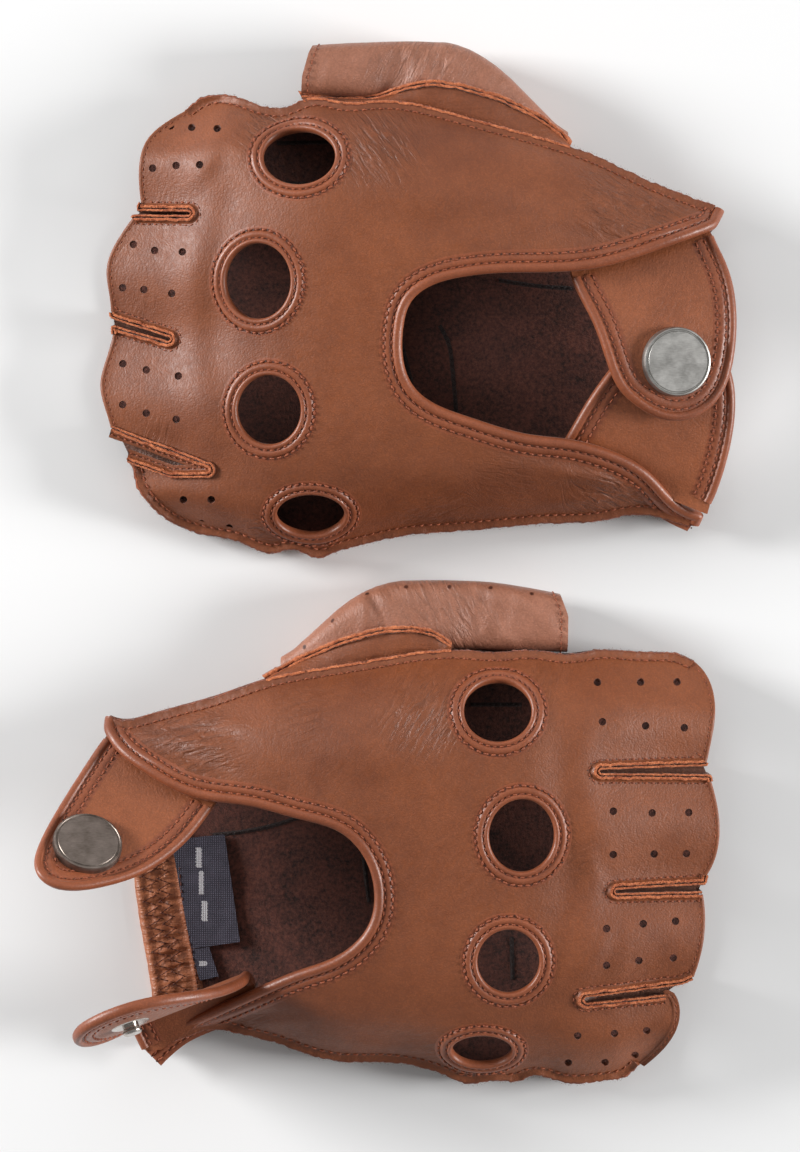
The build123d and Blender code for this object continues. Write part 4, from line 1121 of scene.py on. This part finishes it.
def wrist(spec, body, field, outer, thread):
    """Gathered facing inside the wrist edge of the palm, its zigzag, and the labels."""
    side = spec["name"]
    line = relax(field.drape(resample(section(outer, *plan(spec["palm_wrist"])), 0.45 * MM)), 20)
    away = side_of(line, plan(spec["palm_middle"]))
    s = arc_length(line)
    lines = []
    for k, (d, h) in enumerate(FACING):
        tuck = ripple(s + 0.08 * MM * k, 61, 4, 7 * MM, 2.2 * MM) * 0.3
        tuck = tuck * np.sin(math.pi * min(max(d, 0) / 11, 1))
        wave = ripple(s, 70 + k, 3, 12 * MM, 3 * MM) * 0.05
        lines.append(offset_points(line, field, away, (d + wave) * MM, (h + tuck) * MM))
    facing = Build()
    loft(facing, lines, 0, away < 0, wrinkle=0.75)
    piece(facing, side + "_wrist_facing", [ELASTIC], body, "elastic_facing",
          side + "_wrist_elastic", side + "_wrist_hem")
    for near, far, pitch in ((1.2, 4.8, 3.0), (4.9, 7.6, 2.8)):
        turns = resample(line, pitch * MM / 2)
        zig = np.where(np.arange(len(turns)) % 2 == 0, near, far)
        path = offset_points(turns, field, away, zig * MM, 1.2 * MM)
        for a, b in zip(path, path[1:]):
            half = np.linalg.norm(b - a) / MM / 2
            stitches(thread, np.array([a, (a + b) / 2, b]), np.tile(UP, (3, 1)), half, half * 0.9,
                     0.13, 2, sway=2, hole=None)
    row = offset_points(line, field, away, 10.3 * MM, 1.2 * MM)
    stitches(thread, row, field.normal(row[:, :2]), 1.8, radius=0.18, mat=2)
    for name, corners, bars in LABELS if side == "right" else ():
        xy, tri = triangulate([resample(plan(corners), 0.6 * MM, True)], 0.45 * MM)
        lift = 2.3 * MM + 0.35 * MM * np.sin(xy[:, 1] * 420 + xy[:, 0] * 160)
        top = field.at(xy) + np.outer(lift * 0.6, UP)
        flag = np.zeros(len(xy))
        for x, y, w, h in bars:
            flag[(np.abs(xy - plan((x, y))) < np.array([w, h]) / 2 * MM).all(1)] = 1
        cloth = Build()
        slab(cloth, tri, top, top - UP * 0.3 * MM, edge=np.append(flag, flag * 0))
        piece(cloth, name + "_cloth", [LABEL], body, "label_weave", name)


def flap(spec, name, body, mover, towards):
    """Bound strap or tab: both leathers, rolled edge and two stitch rows, bent at its fold."""
    side, info = spec["name"], spec[name]
    start, end = (np.array(p) * MM for p in info["fold"])
    along = unit(end - start)
    flat = unit(along * [1, 1, 0])
    out = np.array([-flat[1], flat[0], 0])
    out = -out if out[1] * towards < 0 else out
    normal = np.cross(along, out)
    handed = -1 if normal[2] < 0 else 1
    normal = normal * handed
    turn = np.eye(4)
    turn[:3] = np.column_stack([along, np.cross(normal, along), normal, start])
    opened = math.radians(info.get("opened", 0)) * handed
    spin = np.eye(4)
    spin[1:3, 1:3] = [[math.cos(opened), -math.sin(opened)], [math.sin(opened), math.cos(opened)]]
    free_co, free_tri = node_mesh(f"{side}_{name}", np.linalg.inv(turn @ spin))
    root_co, root_tri = node_mesh(f"{side}_{name}_root", np.linalg.inv(turn))
    free_top, root_top = upward(free_co, free_tri, 0.4), upward(root_co, root_tri, 0.3)
    field = Field(np.vstack([free_co, root_co]), np.vstack([free_top, root_top + len(free_co)]),
                  0.6 * MM, 6 * MM)
    field.soften(2)

    # the free edge past the fold line in order, then round the root
    loop = loops_of(free_co, free_top)[0]
    mask = loop[:, 1] * handed > 0.5 * MM
    order = np.roll(np.arange(len(loop)), -int(np.argmin(mask)))
    edge = loop[order[mask[order]]]
    edge = edge[::-1] if edge[0, 0] > edge[-1, 0] else edge
    stubs = info.get("stubs", [(0, -2.2), (0, -2.2)])
    stubs, root = (np.array([(a, b * handed, 0) for a, b in points]) * MM
                   for points in (stubs, info["root"][::-1]))
    edge = np.vstack([edge[0] + stubs[0], edge, edge[-1] + stubs[1]])
    edge = field.drape(relax(resample(edge, 0.6 * MM), 4))
    loop = resample(np.vstack([edge, resample(root, 0.8 * MM)]), 0.6 * MM, True)

    def marks(xy):
        r = np.linalg.norm(xy - xy.mean(0), axis=1) / MM
        strength = np.clip(0.34 - 0.012 * r, 0.06, 1)
        return np.column_stack([turned(xy, math.atan2(0.6, 0.8)), strength])

    build = Build()
    sheet(build, [loop], field, FLAP_LEATHER, 1.0 * MM, marks, (0, 0, 0))
    away = side_of(edge, edge[:, :2].mean(0) - [0, 3 * MM * handed])
    band(build, edge, field, away, FLAP_ROLL, 1)
    for d in (2.3, 4.35):
        row_on(build, edge, field, away, d, 1.9, radius=0.2, sway=3, mat=2, hole=3, sink=-0.12)
    bend = 1.4 * MM     # half the width over which the leather turns

    def move(v):
        w = np.clip((v[:, 1] * handed + bend) / (2 * bend), 0, 1)
        w = w * w * (3 - 2 * w) * opened
        y = v[:, 1] * np.cos(w) - v[:, 2] * np.sin(w)
        z = v[:, 1] * np.sin(w) + v[:, 2] * np.cos(w)
        return np.column_stack([v[:, 0], y, z]) @ turn[:3, :3].T + turn[:3, 3]

    obj = build.make(f"{side}_{name}_leather", [STRAP, ROLL, THREAD, NEEDLE_HOLE_SHADE], move)
    if mover:
        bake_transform(obj)
    else:
        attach(obj, body)
    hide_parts(f"{side}_{name}", f"{side}_{name}_binding", f"{side}_{name}_root")


def cap_disc(name, body, material):
    """Flat brushed snap cap with a rounded rim, in the place of the CAD cap."""
    co = node_mesh(name)[0]
    centre = co.mean(0)
    normal = np.linalg.svd(co - centre, full_matrices=False)[2][2]
    normal = normal * np.sign(normal[2])
    reach = (co - centre) @ normal
    flat = co - centre - np.outer(reach, normal)
    size, low, high = np.linalg.norm(flat, axis=1).max(), reach.min(), reach.max()
    middle = centre + (flat.max(0) + flat.min(0)) / 2
    u = unit(np.cross([0.0, 1.0, 0.0], normal))
    v = np.cross(normal, u)
    sides, rows = 96, len(CAP_PROFILE)
    angle = np.arange(sides) * 2 * math.pi / sides
    circle = np.outer(np.cos(angle), u) + np.outer(np.sin(angle), v)
    drop = high - low
    rings = [middle + size * r * circle + normal * (high + h * drop) for r, h in CAP_PROFILE]
    poles = [middle + normal * (high + 0.02 * drop), middle + normal * low]
    a = np.arange(sides)
    b = (a + 1) % sides
    last = (rows - 1) * sides
    build = Build()
    build.add(np.vstack(rings + [poles]), (net(rows, sides, False, True)[:, [0, 3, 2, 1]], 0),
              (np.column_stack([a * 0 + rows * sides, a, b]), 0),
              (np.column_stack([a * 0 + rows * sides + 1, last + b, last + a]), 0))
    piece(build, name + "_disc", [material], body, "snap_cap_metal", name, sharp=40)


for spec in (LEFT, RIGHT):
    glove(spec)
for side, cap in (("left", CAP), ("right", PEWTER)):
    cap_disc(side + "_snap_cap", side + "_strap_flap", cap)
    for part in ("snap_socket", "snap_spring", "snap_stud", "snap_eyelet"):
        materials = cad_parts[f"{side}_{part}"].data.materials
        materials.clear()
        materials.append(NICKEL)

# ------------------------------------------------------------------ floor, light, camera
mesh = bpy.data.meshes.new("floor")
mesh.from_pydata([(-3, -3, 0), (3, -3, 0), (3, 3, 0), (-3, 3, 0)], [], [(0, 1, 2, 3)])
floor = place("floor", mesh)
floor.location.z = -0.0003
g = Graph("floor_paper")
tint = g.ramp(g.noise(g.at, 6), 0.3, (227, 227, 227), 0.7, (231, 231, 231))
g.finish(tint, 0.9, g.bump(g.noise(g.at, 400), 0.00002, 0.3), Specular_IOR_Level=0.1)
mesh.materials.append(g.material)


def softbox(name, location, aim, size, watts, spread=180):
    data = bpy.data.lights.new(name, "AREA")
    data.shape = "RECTANGLE"
    data.size, data.size_y = size
    data.energy = watts
    data.spread = math.radians(spread)
    lamp = place(name, data)
    lamp.location = location
    lamp.rotation_euler = (Vector(aim) - Vector(location)).to_track_quat("-Z", "Y").to_euler()


softbox("top_box", (0, 0.8, 1.4), (0, 0, 0), (1.3, 0.8), 2.1)
softbox("thumb_side_box", (0, 1.25, 0.6), (0, 0.03, 0), (1.2, 0.5), 1.5)
softbox("left_box", (-1.6, 0.5, 0.56), (-0.06, 0.07, 0), (0.55, 0.55), 9.4, 80)
softbox("right_box", (1.6, -0.05, 0.56), (0.06, -0.06, 0), (0.55, 0.55), 7.0, 80)
world = bpy.data.worlds.new("studio")
bpy.context.scene.world = world
world.use_nodes = True
world.node_tree.nodes["Background"].inputs["Color"].default_value = (1, 1, 1, 1)
world.node_tree.nodes["Background"].inputs["Strength"].default_value = 0.3

# the frame is 0.265 m high at the floor, seen from 1.62 m
camera = bpy.data.cameras.new("camera")
camera.sensor_fit = "VERTICAL"
camera.sensor_height = 36
camera.lens = 36 * 1.6 / 0.265
camera.clip_end = 20
view = place("camera", camera)
view.location = (0.00304, -0.00342, 1.62)
bpy.context.scene.camera = view
bpy.context.scene.view_settings.view_transform = "Standard"
